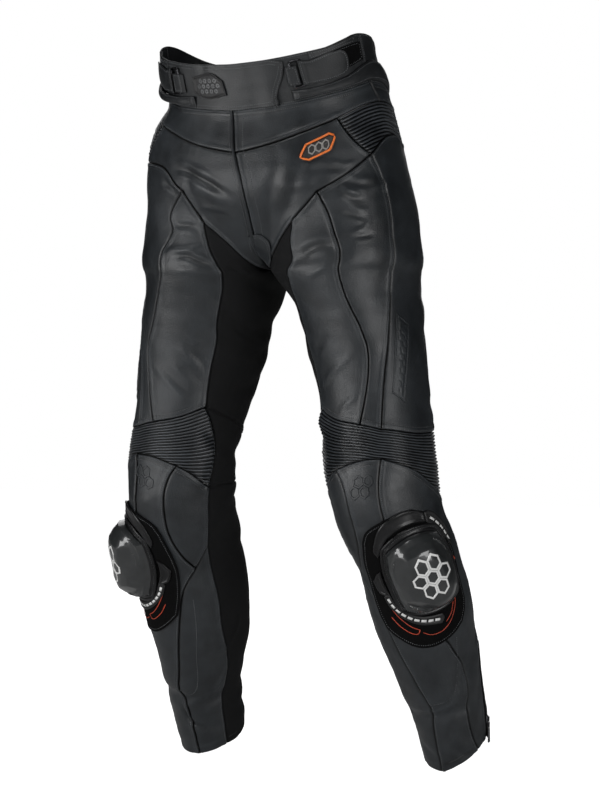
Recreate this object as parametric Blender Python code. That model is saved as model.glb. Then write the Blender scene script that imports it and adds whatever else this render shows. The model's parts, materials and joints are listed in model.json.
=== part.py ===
"""Leather motorcycle trousers, filled out as worn and hollow inside.

Frame: the front faces -Y, +X is the wearer's left, +Z is up, and the origin is in the middle
of the waist, level with the waist seam at the fly. Sizes are in metres.

Every place on the trousers has two coordinates. "around" runs from 0 at the centre front,
over the hip, to 1 at the centre back; on a leg it goes once round, from the inseam over the
front crease (0.25), the outer side (0.5) and the back crease (0.75). "drop" is the distance
below the waist seam. A panel lies between seams given in these coordinates.
"""

import math

import bmesh
import bpy
import numpy as np
from mathutils import Vector

# ---------------------------------------------------------------- driving sizes
crotchDrop = 0.213          # waist seam to crotch
forkStart = 0.075           # where the trunk starts to part into two legs
hemDrop = 0.900             # lowest point of the leg form
seamGap = 0.00015           # each panel stops this far from its seam line
flyGap = 0.0011             # and this far from the open edge of the fly
leather = 0.0013            # wall of the cowhide panels
stretchCloth = 0.0011       # wall of the stretch fabric
bandWall = 0.0022           # wall of the waistband
flyOffset = 0.018           # the fly edge lies this far round to the wearer's left
ribHeight = 0.0016          # accordion leather, valley to crest
ribWall = 0.0018
overlayLift = 0.0008        # a piece sewn on a panel lies this far off it
facingGap = 0.0016          # between the fly facing and the panels in front of it
backDip = 0.81              # share of the rise at the hips that the back gives up again
waistLean = 0.009           # the band leans this far to the wearer's right

# Trunk, right round: half the width, depth to the front and to the back of its middle,
# how far the level rises at the hips, and where the middle lies.
trunkRows = (
    (-0.090, 0.151, 0.104, 0.108, 0.062, -0.026),
    (-0.060, 0.154, 0.106, 0.110, 0.060, -0.019),
    (-0.030, 0.157, 0.110, 0.115, 0.054, -0.010),
    (0.000, 0.161, 0.115, 0.121, 0.046, -0.002),
    (0.050, 0.172, 0.124, 0.134, 0.030, 0.000),
    (0.105, 0.185, 0.126, 0.146, 0.014, 0.000),
    (0.160, 0.195, 0.116, 0.144, 0.004, 0.000),
    (crotchDrop, 0.200, 0.104, 0.132, 0.000, 0.002),
)

# The wearer's left leg: centre line, half width and half depth, and how far it turns out.
# Columns: drop, x, y, half width, half depth, degrees turned out.
legRows = (
    (0.105, 0.1000, 0.002, 0.1000, 0.1180, 0.0),
    (0.160, 0.1000, 0.002, 0.1000, 0.1120, 0.0),
    (crotchDrop, 0.1005, 0.003, 0.1005, 0.1060, 0.0),
    (0.240, 0.1090, 0.008, 0.0905, 0.1030, 10.0),
    (0.275, 0.1200, 0.013, 0.0840, 0.0990, 16.0),
    (0.320, 0.1310, 0.013, 0.0780, 0.0920, 18.0),
    (0.389, 0.1440, 0.007, 0.0730, 0.0790, 20.0),
    (0.440, 0.1520, 0.003, 0.0735, 0.0760, 22.0),
    (0.492, 0.1585, 0.001, 0.0735, 0.0755, 24.0),
    (0.527, 0.1630, 0.006, 0.0710, 0.0755, 25.0),
    (0.600, 0.1760, 0.043, 0.0670, 0.0780, 25.0),
    (0.660, 0.1795, 0.070, 0.0690, 0.0765, 25.0),
    (0.720, 0.1840, 0.094, 0.0630, 0.0710, 24.0),
    (0.775, 0.1920, 0.112, 0.0550, 0.0620, 20.0),
    (0.830, 0.1990, 0.133, 0.0480, 0.0530, 15.0),
    (hemDrop, 0.2002, 0.158, 0.0446, 0.0474, 9.5),
)

# The largest folds and swells: middle (around, drop), direction in degrees from level,
# half length, half width, and height (below zero for a trough), in metres.
foldsOnBoth = (
    (0.270, 0.715, 90, 0.085, 0.040, 0.0045),     # shin armour in its pocket
    (0.260, 0.515, 0, 0.050, 0.030, 0.0040),      # knee cup
    (0.260, 0.802, 0, 0.075, 0.009, -0.0045),     # tuck under the shin armour
    (0.800, 0.455, 0, 0.090, 0.014, -0.0060),     # hollow of the knee
    (0.780, 0.492, 8, 0.080, 0.012, -0.0045),
    (0.830, 0.272, -6, 0.110, 0.014, -0.0060),    # under the seat
)
foldsOnLeft = (
    (0.225, 0.197, 8, 0.060, 0.012, -0.0040),
    (0.320, 0.110, 20, 0.050, 0.012, 0.0030),
    (0.230, 0.402, 42, 0.045, 0.010, 0.0030),
    (0.000, 0.254, 0, 0.075, 0.030, -0.0100),     # hollow at the top of the inner thigh
    (0.050, 0.412, 0, 0.045, 0.016, 0.0045),
)
foldsOnRight = (
    (0.360, 0.058, 90, 0.055, 0.090, 0.0110),     # fullness over the hip
    (0.360, -0.010, 0, 0.090, 0.018, -0.0055),    # drawn in under the band
    (0.200, 0.192, 0, 0.060, 0.011, -0.0050),
    (0.230, 0.173, -4, 0.050, 0.011, 0.0035),
    (0.185, 0.352, -38, 0.055, 0.011, 0.0035),
    (0.225, 0.388, -30, 0.045, 0.010, 0.0030),
    (0.090, 0.785, 38, 0.050, 0.011, -0.0070),
    (0.170, 0.812, 12, 0.055, 0.010, 0.0045),
    (0.970, 0.850, 0, 0.050, 0.030, 0.0045),
)


# ---------------------------------------------------------------- the worn form
def follow(rows, drop):
    """The columns of a table of sections at these drops, on a smooth curve through its rows."""
    table = np.array(rows)
    at = table[:, 0]
    drop = np.clip(np.asarray(drop, float), at[0], at[-1])
    k = np.clip(np.searchsorted(at, drop, side="right") - 1, 0, len(at) - 2)
    slope = (table[1:] - table[:-1]) / np.diff(at)[:, None]
    lean = np.vstack([slope[:1], slope[1:], slope[-1:]])
    weight = (np.diff(at)[:-1] / (at[2:] - at[:-2]))[:, None]
    lean[1:-1] = slope[1:] * weight + slope[:-1] * (1 - weight)
    step = (at[k + 1] - at[k])[..., None]
    u = ((drop - at[k])[..., None]) / step
    start = (2 * u**3 - 3 * u**2 + 1) * table[k] + (u**3 - 2 * u**2 + u) * step * lean[k]
    end = (3 * u**2 - 2 * u**3) * table[k + 1] + (u**3 - u**2) * step * lean[k + 1]
    return np.moveaxis(start + end, -1, 0)


def squared(wave, fullness):
    """A cosine or sine bent so that its ring is a little fuller than an ellipse."""
    return np.sign(wave) * np.abs(wave) ** (2 / fullness)


def stepUp(value, start, end):
    """0 before start and 1 past end, with a soft step between."""
    u = np.clip((value - start) / (end - start), 0, 1)
    return u**2 * (3 - 2 * u)


def trunkRing(around, drop):
    _, halfWidth, front, back, rise, middle = follow(trunkRows, drop)
    angle = np.pi * around
    c, s = squared(np.cos(angle), 2.3), squared(np.sin(angle), 2.3)
    depth = np.where(np.cos(angle) > 0, front, back)
    level = (1 - np.cos(angle)) / 2 - backDip * stepUp(around, 0.44, 0.80)
    z = rise * level - drop
    return np.stack([halfWidth * s, middle - depth * c, z], -1)


def legCentre(drop):
    _, x, y, _, _, _ = follow(legRows, drop)
    return np.stack([x, y, -np.asarray(drop, float)], -1)


def legRing(around, drop):
    _, x, _, halfWidth, halfDepth, turnOut = follow(legRows, drop)
    overCentre = np.where(drop < crotchDrop, np.maximum(halfWidth - x, 0), 0)
    middle = legCentre(drop) + overCentre[..., None] * np.array([1.0, 0, 0])
    reach = 0.02
    low, high = legCentre(np.minimum(drop + reach, hemDrop)), legCentre(drop - reach)
    square = np.clip((drop - crotchDrop) / 0.12, 0, 1)[..., None]
    square = square**2 * (3 - 2 * square)
    down = unit(low - high) * square + np.array([0, 0, -1.0]) * (1 - square)
    down = unit(down)
    side = unit(np.array([1.0, 0, 0]) - down[..., :1] * down)
    back = np.cross(side, down)
    angle = 2 * np.pi * around
    c, s = -squared(np.cos(angle), 2.15), -squared(np.sin(angle), 2.15)
    turn = np.radians(turnOut)
    cc, ss, cs = np.cos(turn) ** 2, np.sin(turn) ** 2, np.sin(turn) * np.cos(turn)
    mixed = (halfWidth - halfDepth) * cs
    across = (halfWidth * cc + halfDepth * ss) * c + mixed * s
    along = mixed * c + (halfWidth * ss + halfDepth * cc) * s
    return middle + across[..., None] * side + along[..., None] * back


def unit(vectors):
    return vectors / np.maximum(np.linalg.norm(vectors, axis=-1, keepdims=True), 1e-12)


def smoothForm(around, drop, onLeg):
    """Points of the wearer's left half. On the trunk, around runs on over the centre seams to
    the other half; on a leg it runs on round the leg."""
    turned = np.where(onLeg, around % 1, around % 2)
    mirrored = turned > 1
    turned = np.where(mirrored, 2 - turned, turned)
    part = np.clip((drop - forkStart) / (crotchDrop - forkStart), 0, 1)
    spread = part**2 * (3 - 2 * part)
    pinch = 1 - np.sqrt(np.maximum(1 - part**2, 0))
    nearSeam = ((1 + np.cos(2 * np.pi * turned)) / 2) ** 8
    share = (spread * (1 - nearSeam) + pinch * nearSeam)[..., None]
    trunk = trunkRing(turned, np.minimum(drop, crotchDrop))
    leg = legRing(turned, np.maximum(drop, legRows[0][0]))
    points = trunk * (1 - share) + leg * share
    points[..., 0] = np.where(mirrored, -points[..., 0], points[..., 0])
    return points


def outwards(around, drop, onLeg):
    e = 0.003
    high = np.where(onLeg, np.maximum(drop - e, crotchDrop), drop - e)
    low = np.where(onLeg, drop + e, np.minimum(drop + e, crotchDrop - 1e-6))
    over = smoothForm(around + e, drop, onLeg) - smoothForm(around - e, drop, onLeg)
    down = smoothForm(around, low, onLeg) - smoothForm(around, high, onLeg)
    return unit(np.cross(down, over))


def relief(around, drop, side):
    """Height of the folds and swells above the smooth form."""
    total = np.zeros(np.broadcast(around, drop).shape)
    for at, level, angle, halfLength, halfWidth, height in (
            foldsOnBoth + (foldsOnLeft if side > 0 else foldsOnRight)):
        girth = 0.60 if level < crotchDrop else 0.48 - 0.2 * max(0, level - 0.5)
        x = (np.mod(around - at + 0.5, 1) - 0.5) * girth
        y = level - drop
        tilt = math.radians(angle)
        along = (x * math.cos(tilt) + y * math.sin(tilt)) / halfLength
        across = (y * math.cos(tilt) - x * math.sin(tilt)) / halfWidth
        total += height * np.exp(-across**2 - along**4)
    return total


def surface(around, drop, side=1, lift=0.0):
    """Points on the outside of the trousers, raised by lift, and the outward directions there.
    side is 1 for the wearer's left and -1 for the right, which mirrors the left."""
    around, drop = np.broadcast_arrays(np.asarray(around, float), np.asarray(drop, float))
    onLeg = drop > crotchDrop - 1e-5
    normals = outwards(around, drop, onLeg)
    height = (relief(around, drop, side) + lift)[..., None]
    points = smoothForm(around, drop, onLeg) + normals * height
    flip = np.array([side, 1, 1])
    points = points * flip
    points[..., 0] -= waistLean * stepUp(points[..., 2], 0, 0.07)
    return points, normals * flip


# ---------------------------------------------------------------- seams
# Drop of the hem of each leg at 0.087, 0.240, 0.330, 0.440, 0.503, 0.537, 0.700, 0.850 and 1
# round it: the wearer's left is 1 and the right is -1.
hemDrops = {
    1: (0.885, 0.888, 0.877, 0.866, 0.860, 0.861, 0.860, 0.864, 0.876),
    -1: (0.885, 0.893, 0.893, 0.888, 0.880, 0.876, 0.866, 0.872, 0.883),
}


def seamTable(side):
    """Each seam: how many straight chords it is cut into, and its points (around, drop)."""
    fly = flyOffset * side
    hem = hemDrops[side]
    return {
        "flyUpper": (2, (fly, 0), (fly, 0.056)),
        "flyLower": (8, (fly, 0.056), (fly * 1.1, 0.110), (fly, 0.150), (fly * 0.4, 0.178),
                     (0, 0.192), (0, crotchDrop)),
        "waistFront": (12, (fly, 0), (0.10, -0.004), (0.20, -0.008), (0.30, -0.012),
                       (0.465, -0.018)),
        "yokeFront": (9, (fly, 0.056), (0.10, 0.040), (0.19, 0.029), (0.28, 0.020)),
        "yokeSide": (3, (0.28, 0.020), (0.38, 0.009), (0.483, 0.005)),
        "yokeSideSeam": (2, (0.465, -0.018), (0.483, 0.005)),
        "yokeCorner": (1, (0.483, 0.005), (0.62, 0.004)),
        "waistBack": (9, (0.465, -0.018), (0.70, -0.018), (1, -0.014)),
        "yokeBack": (8, (0.62, 0.004), (0.80, 0.020), (1, 0.042)),
        "hipFront": (2, (0.28, 0.020), (0.31, 0.040), (0.345, 0.057), (0.385, 0.069)),
        "hipBack": (2, (0.62, 0.004), (0.635, 0.046)),
        "hipLow": (4, (0.385, 0.069), (0.46, 0.050), (0.55, 0.042), (0.635, 0.046)),
        "groinInner": (4, (0, crotchDrop), (0.040, 0.208), (0.085, 0.196), (0.130, 0.174),
                       (0.165, 0.148)),
        "groinMiddle": (3, (0.165, 0.148), (0.190, 0.130), (0.212, 0.113)),
        "groinOuter": (2, (0.212, 0.113), (0.28, 0.094), (0.385, 0.069)),
        "thighInner": (8, (0.165, 0.148), (0.185, 0.172), (0.205, 0.198), (0.190, 0.222),
                       (0.160, 0.245), (0.138, 0.270), (0.125, 0.300), (0.123, 0.340),
                       (0.118, 0.394)),
        "thighFront": (8, (0.212, 0.113), (0.258, 0.140), (0.300, 0.175), (0.312, 0.200),
                       (0.307, 0.250), (0.315, 0.300), (0.320, 0.330), (0.312, 0.360),
                       (0.295, 0.385), (0.268, 0.417)),
        "thighOuter": (8, (0.385, 0.069), (0.420, 0.103), (0.435, 0.140), (0.440, 0.200),
                       (0.428, 0.240), (0.405, 0.280), (0.385, 0.320), (0.362, 0.360),
                       (0.343, 0.400), (0.330, 0.426)),
        "backUpper": (4, (0.635, 0.046), (0.650, 0.150), (0.660, 0.250)),
        "backLower": (4, (0.660, 0.250), (0.630, 0.340), (0.575, 0.436)),
        "seatCentre": (6, (1, 0.042), (1, 0.120), (1, crotchDrop)),
        "seatLow": (4, (0.660, 0.250), (0.750, 0.262), (0.840, 0.240)),
        "seatGroin": (4, (0.840, 0.240), (0.890, 0.226), (0.945, 0.2175), (1, crotchDrop)),
        "hamSeam": (4, (0.840, 0.240), (0.865, 0.290), (0.885, 0.350), (0.900, 0.425)),
        "kneeTopInner": (3, (0.118, 0.394), (0.200, 0.407), (0.268, 0.417)),
        "kneeTopMiddle": (2, (0.268, 0.417), (0.330, 0.426)),
        "kneeTopOuter": (4, (0.330, 0.426), (0.450, 0.433), (0.575, 0.436)),
        "kneeTopBack": (4, (0.575, 0.436), (0.740, 0.432), (0.900, 0.425)),
        "kneeTopInseam": (4, (0.900, 0.425), (1.000, 0.407), (1.118, 0.394)),
        "kneeEdgeInner": (3, (0.118, 0.394), (0.090, 0.415), (0.068, 0.440), (0.066, 0.470),
                          (0.075, 0.500)),
        "kneeEdgeOuter": (3, (0.575, 0.436), (0.585, 0.490), (0.585, 0.540)),
        "kneeLowInner": (3, (0.075, 0.500), (0.140, 0.484), (0.185, 0.477)),
        "kneeLowMiddle": (2, (0.185, 0.477), (0.260, 0.471), (0.325, 0.471)),
        "kneeLowOuter": (4, (0.325, 0.471), (0.410, 0.483), (0.465, 0.497), (0.585, 0.540)),
        "kneeLowBack": (8, (0.585, 0.540), (0.700, 0.525), (0.850, 0.505), (1.000, 0.497),
                        (1.075, 0.500)),
        "kneePiping": (4, (0.075, 0.500), (0.078, 0.530), (0.090, 0.565)),
        "kneeCup": (4, (0.185, 0.477), (0.205, 0.490), (0.217, 0.510), (0.213, 0.540),
                    (0.185, 0.565), (0.138, 0.597)),
        "calfFork": (3, (0.090, 0.565), (0.138, 0.597)),
        "kneeOuter": (6, (0.325, 0.471), (0.310, 0.500), (0.312, 0.530), (0.330, 0.580),
                      (0.360, 0.650), (0.393, 0.700)),
        "shinOuter": (7, (0.393, 0.700), (0.410, 0.720), (0.435, 0.745), (0.442, 0.775),
                      (0.420, 0.805), (0.410, 0.825), (0.420, 0.850), (0.440, hem[3])),
        "shinInner": (9, (0.138, 0.597), (0.195, 0.635), (0.218, 0.670), (0.237, 0.715),
                      (0.250, 0.760), (0.266, 0.790), (0.252, 0.810), (0.240, 0.840),
                      (0.240, hem[1])),
        "calfPiping": (9, (0.090, 0.565), (0.086, 0.610), (0.083, 0.660), (0.085, 0.695),
                       (0.068, 0.730), (0.057, 0.757), (0.068, 0.785), (0.085, 0.810),
                       (0.087, 0.840), (0.087, hem[0])),
        "calfBack": (6, (0.585, 0.540), (0.600, 0.600), (0.600, 0.660), (0.575, 0.730)),
        "zipTopOuter": (1, (0.575, 0.730), (0.559, 0.737)),
        "zipTopInner": (1, (0.575, 0.730), (0.591, 0.737)),
        "zipOuter": (6, (0.559, 0.737), (0.528, 0.800), (0.503, hem[4])),
        "zipInner": (6, (0.591, 0.737), (0.560, 0.800), (0.537, hem[5])),
        "hemInner": (3, (0.087, hem[0]), (0.240, hem[1])),
        "hemFront": (4, (0.240, hem[1]), (0.330, hem[2]), (0.440, hem[3])),
        "hemOuter": (2, (0.440, hem[3]), (0.503, hem[4])),
        "hemZip": (2, (0.503, hem[4]), (0.537, hem[5])),
        "hemBack": (8, (0.537, hem[5]), (0.700, hem[6]), (0.850, hem[7]), (1.000, hem[8]),
                    (1.087, hem[0])),
    }


def curveThrough(points, count):
    """count + 1 evenly spaced places on a smooth curve through the points (around, drop)."""
    knots = np.array(points, float)
    if len(knots) == 2:
        fine = np.linspace(knots[0], knots[1], 60)
    else:
        ends = [2 * knots[0] - knots[1], *knots, 2 * knots[-1] - knots[-2]]
        pieces = []
        for p0, p1, p2, p3 in zip(ends, ends[1:], ends[2:], ends[3:]):
            u = np.linspace(0, 1, 24, endpoint=False)[:, None]
            pieces.append(0.5 * (2 * p1 + (p2 - p0) * u + (2 * p0 - 5 * p1 + 4 * p2 - p3) * u**2
                                 + (3 * p1 - p0 - 3 * p2 + p3) * u**3))
        fine = np.vstack([*pieces, knots[-1:]])
    onForm = smoothForm(fine[:, 0], fine[:, 1], fine[:, 1] > crotchDrop - 1e-5)
    steps = np.linalg.norm(np.diff(onForm, axis=0), axis=1)
    length = np.concatenate([[0], np.cumsum(steps)])
    wanted = np.linspace(0, length[-1], count + 1)
    return np.stack([np.interp(wanted, length, fine[:, i]) for i in (0, 1)], -1)


def chain(seams, names):
    """The corners (around, drop) of the chords along a run of seams. A name may start with -
    where the run goes against the seam, and end in + or = to pass one turn up or down."""
    run = []
    for name in names.split():
        turns = {"+": 1, "=": -1}.get(name[-1], 0)
        count, *points = seams[name.strip("-+=")]
        places = curveThrough(points, count) + np.array([turns, 0])
        places = places[::-1] if name[0] == "-" else places
        run.extend(places if not run else places[1:])
    return np.array(run)


def acrossBack(run):
    """A run of the left half carried on over the centre back to the same place on the right."""
    other = run[::-1][1:] * np.array([-1, 1]) + np.array([2, 0])
    return np.vstack([run, other])


# ---------------------------------------------------------------- walls
def wallObject(name, outer, inner, colour, roughness, collection, metallic=0.0):
    """A wall whose two faces are grids of points, outer and inner, shape (rows, columns, 3)."""
    rows, columns = outer.shape[0] - 1, outer.shape[1] - 1
    bm = bmesh.new()
    bmesh.ops.create_grid(bm, x_segments=columns, y_segments=rows, size=0.5)
    spot = bm.verts.layers.int.new("spot")
    for vert in bm.verts:
        row, column = round((0.5 - vert.co.y) * rows), round((vert.co.x + 0.5) * columns)
        vert[spot] = row * (columns + 1) + column
    raised = bmesh.ops.extrude_face_region(bm, geom=bm.faces[:])["geom"]
    top = {item for item in raised if isinstance(item, bmesh.types.BMVert)}
    outside, inside = outer.reshape(-1, 3), inner.reshape(-1, 3)
    for vert in bm.verts:
        vert.co = (outside if vert in top else inside)[vert[spot]]
    return finish(name, bm, colour, roughness, collection, metallic)


def finish(name, bm, colour, roughness, collection, metallic=0.0):
    bmesh.ops.recalc_face_normals(bm, faces=bm.faces[:])
    if bm.calc_volume(signed=True) < 0:
        bmesh.ops.reverse_faces(bm, faces=bm.faces[:])
    mesh = bpy.data.meshes.new(name)
    bm.to_mesh(mesh)
    bm.free()
    mesh.shade_smooth()
    mesh.set_sharp_from_angle(angle=math.radians(35))
    made = bpy.data.objects.new(name, mesh)
    made.data.materials.append(material(name, colour, roughness, metallic))
    collection.objects.link(made)
    return made


def material(name, colour, roughness, metallic):
    made = bpy.data.materials.new(name)
    made.use_nodes = True
    shader = made.node_tree.nodes["Principled BSDF"]
    shader.inputs["Base Color"].default_value = (*colour, 1)
    shader.inputs["Roughness"].default_value = roughness
    shader.inputs["Metallic"].default_value = metallic
    return made


def spreadAlong(corners, fractions):
    """Places at these fractions of a run of chords, counted in chords."""
    at = np.asarray(fractions) * (len(corners) - 1)
    index = np.arange(len(corners))
    return np.stack([np.interp(at, index, corners[:, i]) for i in range(corners.shape[1])], -1)


def insetCorners(sides, side, gap):
    """The panel's border in space, drawn in from its seams: the points and the outward
    directions for each side, in the order top, right, bottom, left."""
    loop = np.vstack([run[:-1] for run in sides])
    points, normals = surface(loop[:, 0], loop[:, 1], side)
    before = points - np.roll(points, 1, axis=0)
    after = np.roll(points, -1, axis=0) - points
    before = unit(before - (before * normals).sum(-1, keepdims=True) * normals)
    after = unit(after - (after * normals).sum(-1, keepdims=True) * normals)
    in1, in2 = np.cross(normals, before), np.cross(normals, after)
    mitre = (in1 + in2) / np.maximum(1 + (in1 * in2).sum(-1, keepdims=True), 0.25)
    hand = np.sign((mitre * (points.mean(axis=0) - points)).sum())
    drawn = points + mitre * hand * gap
    result, start = [], 0
    for run in sides:
        pick = (start + np.arange(len(run))) % len(loop)
        result.append((drawn[pick], normals[pick]))
        start += len(run) - 1
    return result


def blendSides(top, right, bottom, left, across, down):
    """Coons patch between four runs of points, at the fractions across and down."""
    u, v = across[None, :, None], down[:, None, None]
    ruled1 = top[None] * (1 - v) + bottom[None] * v
    ruled2 = left[:, None] * (1 - u) + right[:, None] * u
    corners = (top[0] * (1 - u) * (1 - v) + top[-1] * u * (1 - v)
               + bottom[0] * (1 - u) * v + bottom[-1] * u * v)
    return ruled1 + ruled2 - corners


def planGrid(top, right, bottom, left, columns, rows):
    """Places (around, drop) in rows and columns between four runs."""
    across, down = np.linspace(0, 1, columns + 1), np.linspace(0, 1, rows + 1)
    return blendSides(spreadAlong(top, across), spreadAlong(right, down),
                      spreadAlong(bottom, across), spreadAlong(left, down), across, down)


def panelGrid(top, right, bottom, left, columns, rows, side, gap=seamGap):
    """The outer points of a panel between four runs of chords and the outward directions there.
    top and bottom run from left to right, and right and left run downwards."""
    plan = planGrid(top, right, bottom, left, columns, rows)
    across, down = np.linspace(0, 1, columns + 1), np.linspace(0, 1, rows + 1)
    points, normals = surface(plan[..., 0], plan[..., 1], side)
    (tp, tn), (rp, rn), (bp, bn), (lp, ln) = insetCorners(
        [top, right, bottom[::-1], left[::-1]], side, gap)
    for row, run, lean in ((0, tp, tn), (-1, bp[::-1], bn[::-1])):
        points[row], normals[row] = spreadAlong(run, across), unit(spreadAlong(lean, across))
    for column, run, lean in ((0, lp[::-1], ln[::-1]), (-1, rp, rn)):
        points[:, column] = spreadAlong(run, down)
        normals[:, column] = unit(spreadAlong(lean, down))
    return points, normals


charcoal = (0.030, 0.032, 0.034)
blackCloth = (0.012, 0.012, 0.013)
black = (0.010, 0.010, 0.011)
orange = (0.85, 0.24, 0.05)
steel = (0.42, 0.42, 0.43)

# Panels of one leg and hip: name, the seams along the top, right, bottom and left, how many
# columns and rows, wall and colour.
panels = (
    ("yoke_front", "waistFront", "yokeSideSeam", "yokeFront yokeSide", "flyUpper",
     12, 2, leather, charcoal),
    ("front_panel", "yokeFront", "hipFront", "groinInner groinMiddle groinOuter", "flyLower",
     9, 8, leather, charcoal),
    ("seat", "yokeBack", "seatCentre", "seatLow seatGroin", "hipBack backUpper",
     8, 6, leather, charcoal),
    ("thigh_inner_front", "groinMiddle", "thighFront", "kneeTopInner", "thighInner",
     3, 8, leather, charcoal),
    ("thigh_front", "groinOuter", "thighOuter", "kneeTopMiddle", "thighFront",
     2, 8, leather, charcoal),
    ("thigh_side", "hipLow", "backUpper backLower", "kneeTopOuter", "thighOuter",
     4, 8, leather, charcoal),
    ("thigh_back", "seatLow", "hamSeam", "kneeTopBack", "backLower",
     4, 4, leather, charcoal),
    ("inner_stretch", "-groinInner -seatGroin=", "hamSeam=", "-kneeTopInseam=", "thighInner",
     8, 8, stretchCloth, blackCloth),
    ("knee_back", "kneeTopBack kneeTopInseam", "kneeEdgeInner+", "kneeLowBack", "kneeEdgeOuter",
     8, 3, stretchCloth, blackCloth),
    ("knee_inner", "kneeLowInner", "kneeCup", "calfFork", "kneePiping",
     3, 4, leather, charcoal),
    ("shin_front", "kneeLowMiddle", "kneeOuter shinOuter", "hemFront", "kneeCup shinInner",
     4, 13, leather, charcoal),
    ("shin_inner", "calfFork", "shinInner", "hemInner", "calfPiping",
     3, 9, leather, charcoal),
    ("calf_outer", "kneeLowOuter", "calfBack zipTopOuter zipOuter", "hemOuter",
     "kneeOuter shinOuter", 4, 13, leather, charcoal),
    ("calf_inner", "kneeLowBack", "kneePiping+ calfPiping+", "hemBack",
     "calfBack zipTopInner zipInner", 8, 13, stretchCloth, blackCloth),
    ("ankle_zip", "-zipTopOuter zipTopInner", "zipInner", "hemZip", "zipOuter",
     2, 6, leather, black),
    ("knee_accordion", "kneeTopInner kneeTopMiddle kneeTopOuter", "kneeEdgeOuter",
     "kneeLowInner kneeLowMiddle kneeLowOuter", "kneeEdgeInner", 9, 33, ribWall, charcoal),
    ("hip_accordion", "yokeSide yokeCorner", "hipBack", "hipLow", "hipFront",
     4, 26, ribWall, charcoal),
)


laid = {}                   # inner points and outward directions of each panel made so far


def makePanels(side, mark, collection):
    seams = seamTable(side)
    for name, top, right, bottom, left, columns, rows, wall, colour in panels:
        runs = [chain(seams, run) for run in (top, right, bottom, left)]
        points, normals = panelGrid(*runs, columns, rows, side)
        if "fly" in left:
            openness = np.clip((points[:, 0, 2] + crotchDrop) / 0.05, 0, 1)
            points[:, 0, 0] += side * flyGap * openness
        if name == "knee_accordion":
            points += normals * ribs(columns, rows, plainRows=3)
        if name == "hip_accordion":
            points += normals * ribs(columns, rows, plainRows=0)
        inside = points - normals * wall
        if name == "ankle_zip":
            points[-2, 1] += normals[-2, 1] * 0.003        # the slider at the foot of the zip
        for face in (points, inside):
            keepToOwnSide(face, side)
        laid[name + mark] = inside, normals
        roughness = 0.75 if colour is blackCloth else 0.42
        wallObject(name + mark, points, inside, colour, roughness, collection)


def keepToOwnSide(points, side):
    """At the crotch both faces of a wall stay on their own side of the centre plane."""
    low = points[..., 2] < -0.192
    points[..., 0] = np.where(low, side * np.maximum(side * points[..., 0], seamGap),
                              points[..., 0])


def ribs(columns, rows, plainRows):
    """Heights of the crests and valleys of accordion leather, which die out at its border."""
    wave = np.zeros(rows + 1)
    wave[plainRows + 1:-1:2] = 0.5
    wave[plainRows + 2:-1:2] = -0.5
    fade = np.ones(columns + 1)
    fade[[0, -1]] = 0
    return (wave[:, None] * fade)[..., None] * ribHeight


def makeYokeBack(collection):
    """One piece from side seam to side seam, over the centre back."""
    seams = seamTable(1)
    top, bottom = acrossBack(chain(seams, "waistBack")), acrossBack(chain(seams, "yokeCorner yokeBack"))
    left = chain(seams, "yokeSideSeam")
    right = left * np.array([-1, 1]) + np.array([2, 0])
    points, normals = panelGrid(top, right, bottom, left, 18, 2, 1)
    wallObject("yoke_back", points, points - normals * leather, charcoal, 0.42, collection)


# ---------------------------------------------------------------- waist
# Upper edge of the band (around, drop), centre front to centre back.
bandTop = ((0.0, -0.061), (0.10, -0.063), (0.20, -0.066), (0.30, -0.068), (0.36, -0.072),
           (0.42, -0.076), (0.50, -0.077), (0.75, -0.078), (1.0, -0.078))
bandFoot = ((0.0, 0.0), (0.10, -0.004), (0.20, -0.008), (0.30, -0.012), (0.465, -0.018),
            (0.70, -0.018), (1.0, -0.014))
bandClear = 0.0010          # between the band and the yoke


def edgeAt(table, around):
    """The drop of an edge at this distance round, the same on both sides of the centre."""
    knots = np.array(table)
    return np.interp(np.abs(around), knots[:, 0], knots[:, 1])


def sheetOn(name, plan, side, lift, wall, colour, roughness, collection, metallic=0.0):
    """A wall that lies on the trousers over these places, lift above them. lift and wall may
    be one size or a grid of sizes."""
    inner, _ = surface(plan[..., 0], plan[..., 1], side, lift)
    outer, _ = surface(plan[..., 0], plan[..., 1], side, np.asarray(lift) + wall)
    return wallObject(name, outer, inner, colour, roughness, collection, metallic)


def bandPlan(around, left=None):
    """Rows and columns of a waistband piece from its upper edge to its foot."""
    top = np.stack([around, edgeAt(bandTop, around)], -1)
    foot = np.stack([around, edgeAt(bandFoot, around) - bandClear], -1)
    if left is None:
        left = np.linspace(top[0], foot[0], 5)
    else:
        left = curveThrough(left, 4)
        top[0], foot[0] = left[0], left[-1]
    right = np.linspace(top[-1], foot[-1], 5)
    return planGrid(top, right, foot, left, len(around) - 1, 4)


def makeWaistband(collection):
    shapedEnd = ((-0.148, -0.0585), (-0.147, -0.050), (-0.135, -0.038), (-0.118, -0.026),
                 (-0.108, -0.016), (-0.103, -0.0052))
    plan = bandPlan(np.concatenate([[-0.148], np.linspace(-0.11, 0.4625, 20)]), shapedEnd)
    overlap = 0.0034 * stepUp(-plan[..., 0], 0.045, 0.090)
    sheetOn("waistband_front_right", plan, -1, overlap - bandWall, bandWall, charcoal, 0.42,
            collection)
    plan = bandPlan(np.linspace(0.097, 0.4625, 15))
    sheetOn("waistband_front_left", plan, 1, -bandWall, bandWall, charcoal, 0.42, collection)
    half = np.linspace(0.4655, 1, 11)
    top = acrossBack(np.stack([half, edgeAt(bandTop, half)], -1))
    foot = acrossBack(np.stack([half, edgeAt(bandFoot, half) - bandClear], -1))
    plan = planGrid(top, np.linspace(top[-1], foot[-1], 5), foot,
                    np.linspace(top[0], foot[0], 5), 20, 4)
    sheetOn("waistband_back", plan, 1, -bandWall, bandWall, charcoal, 0.42, collection)


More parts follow.
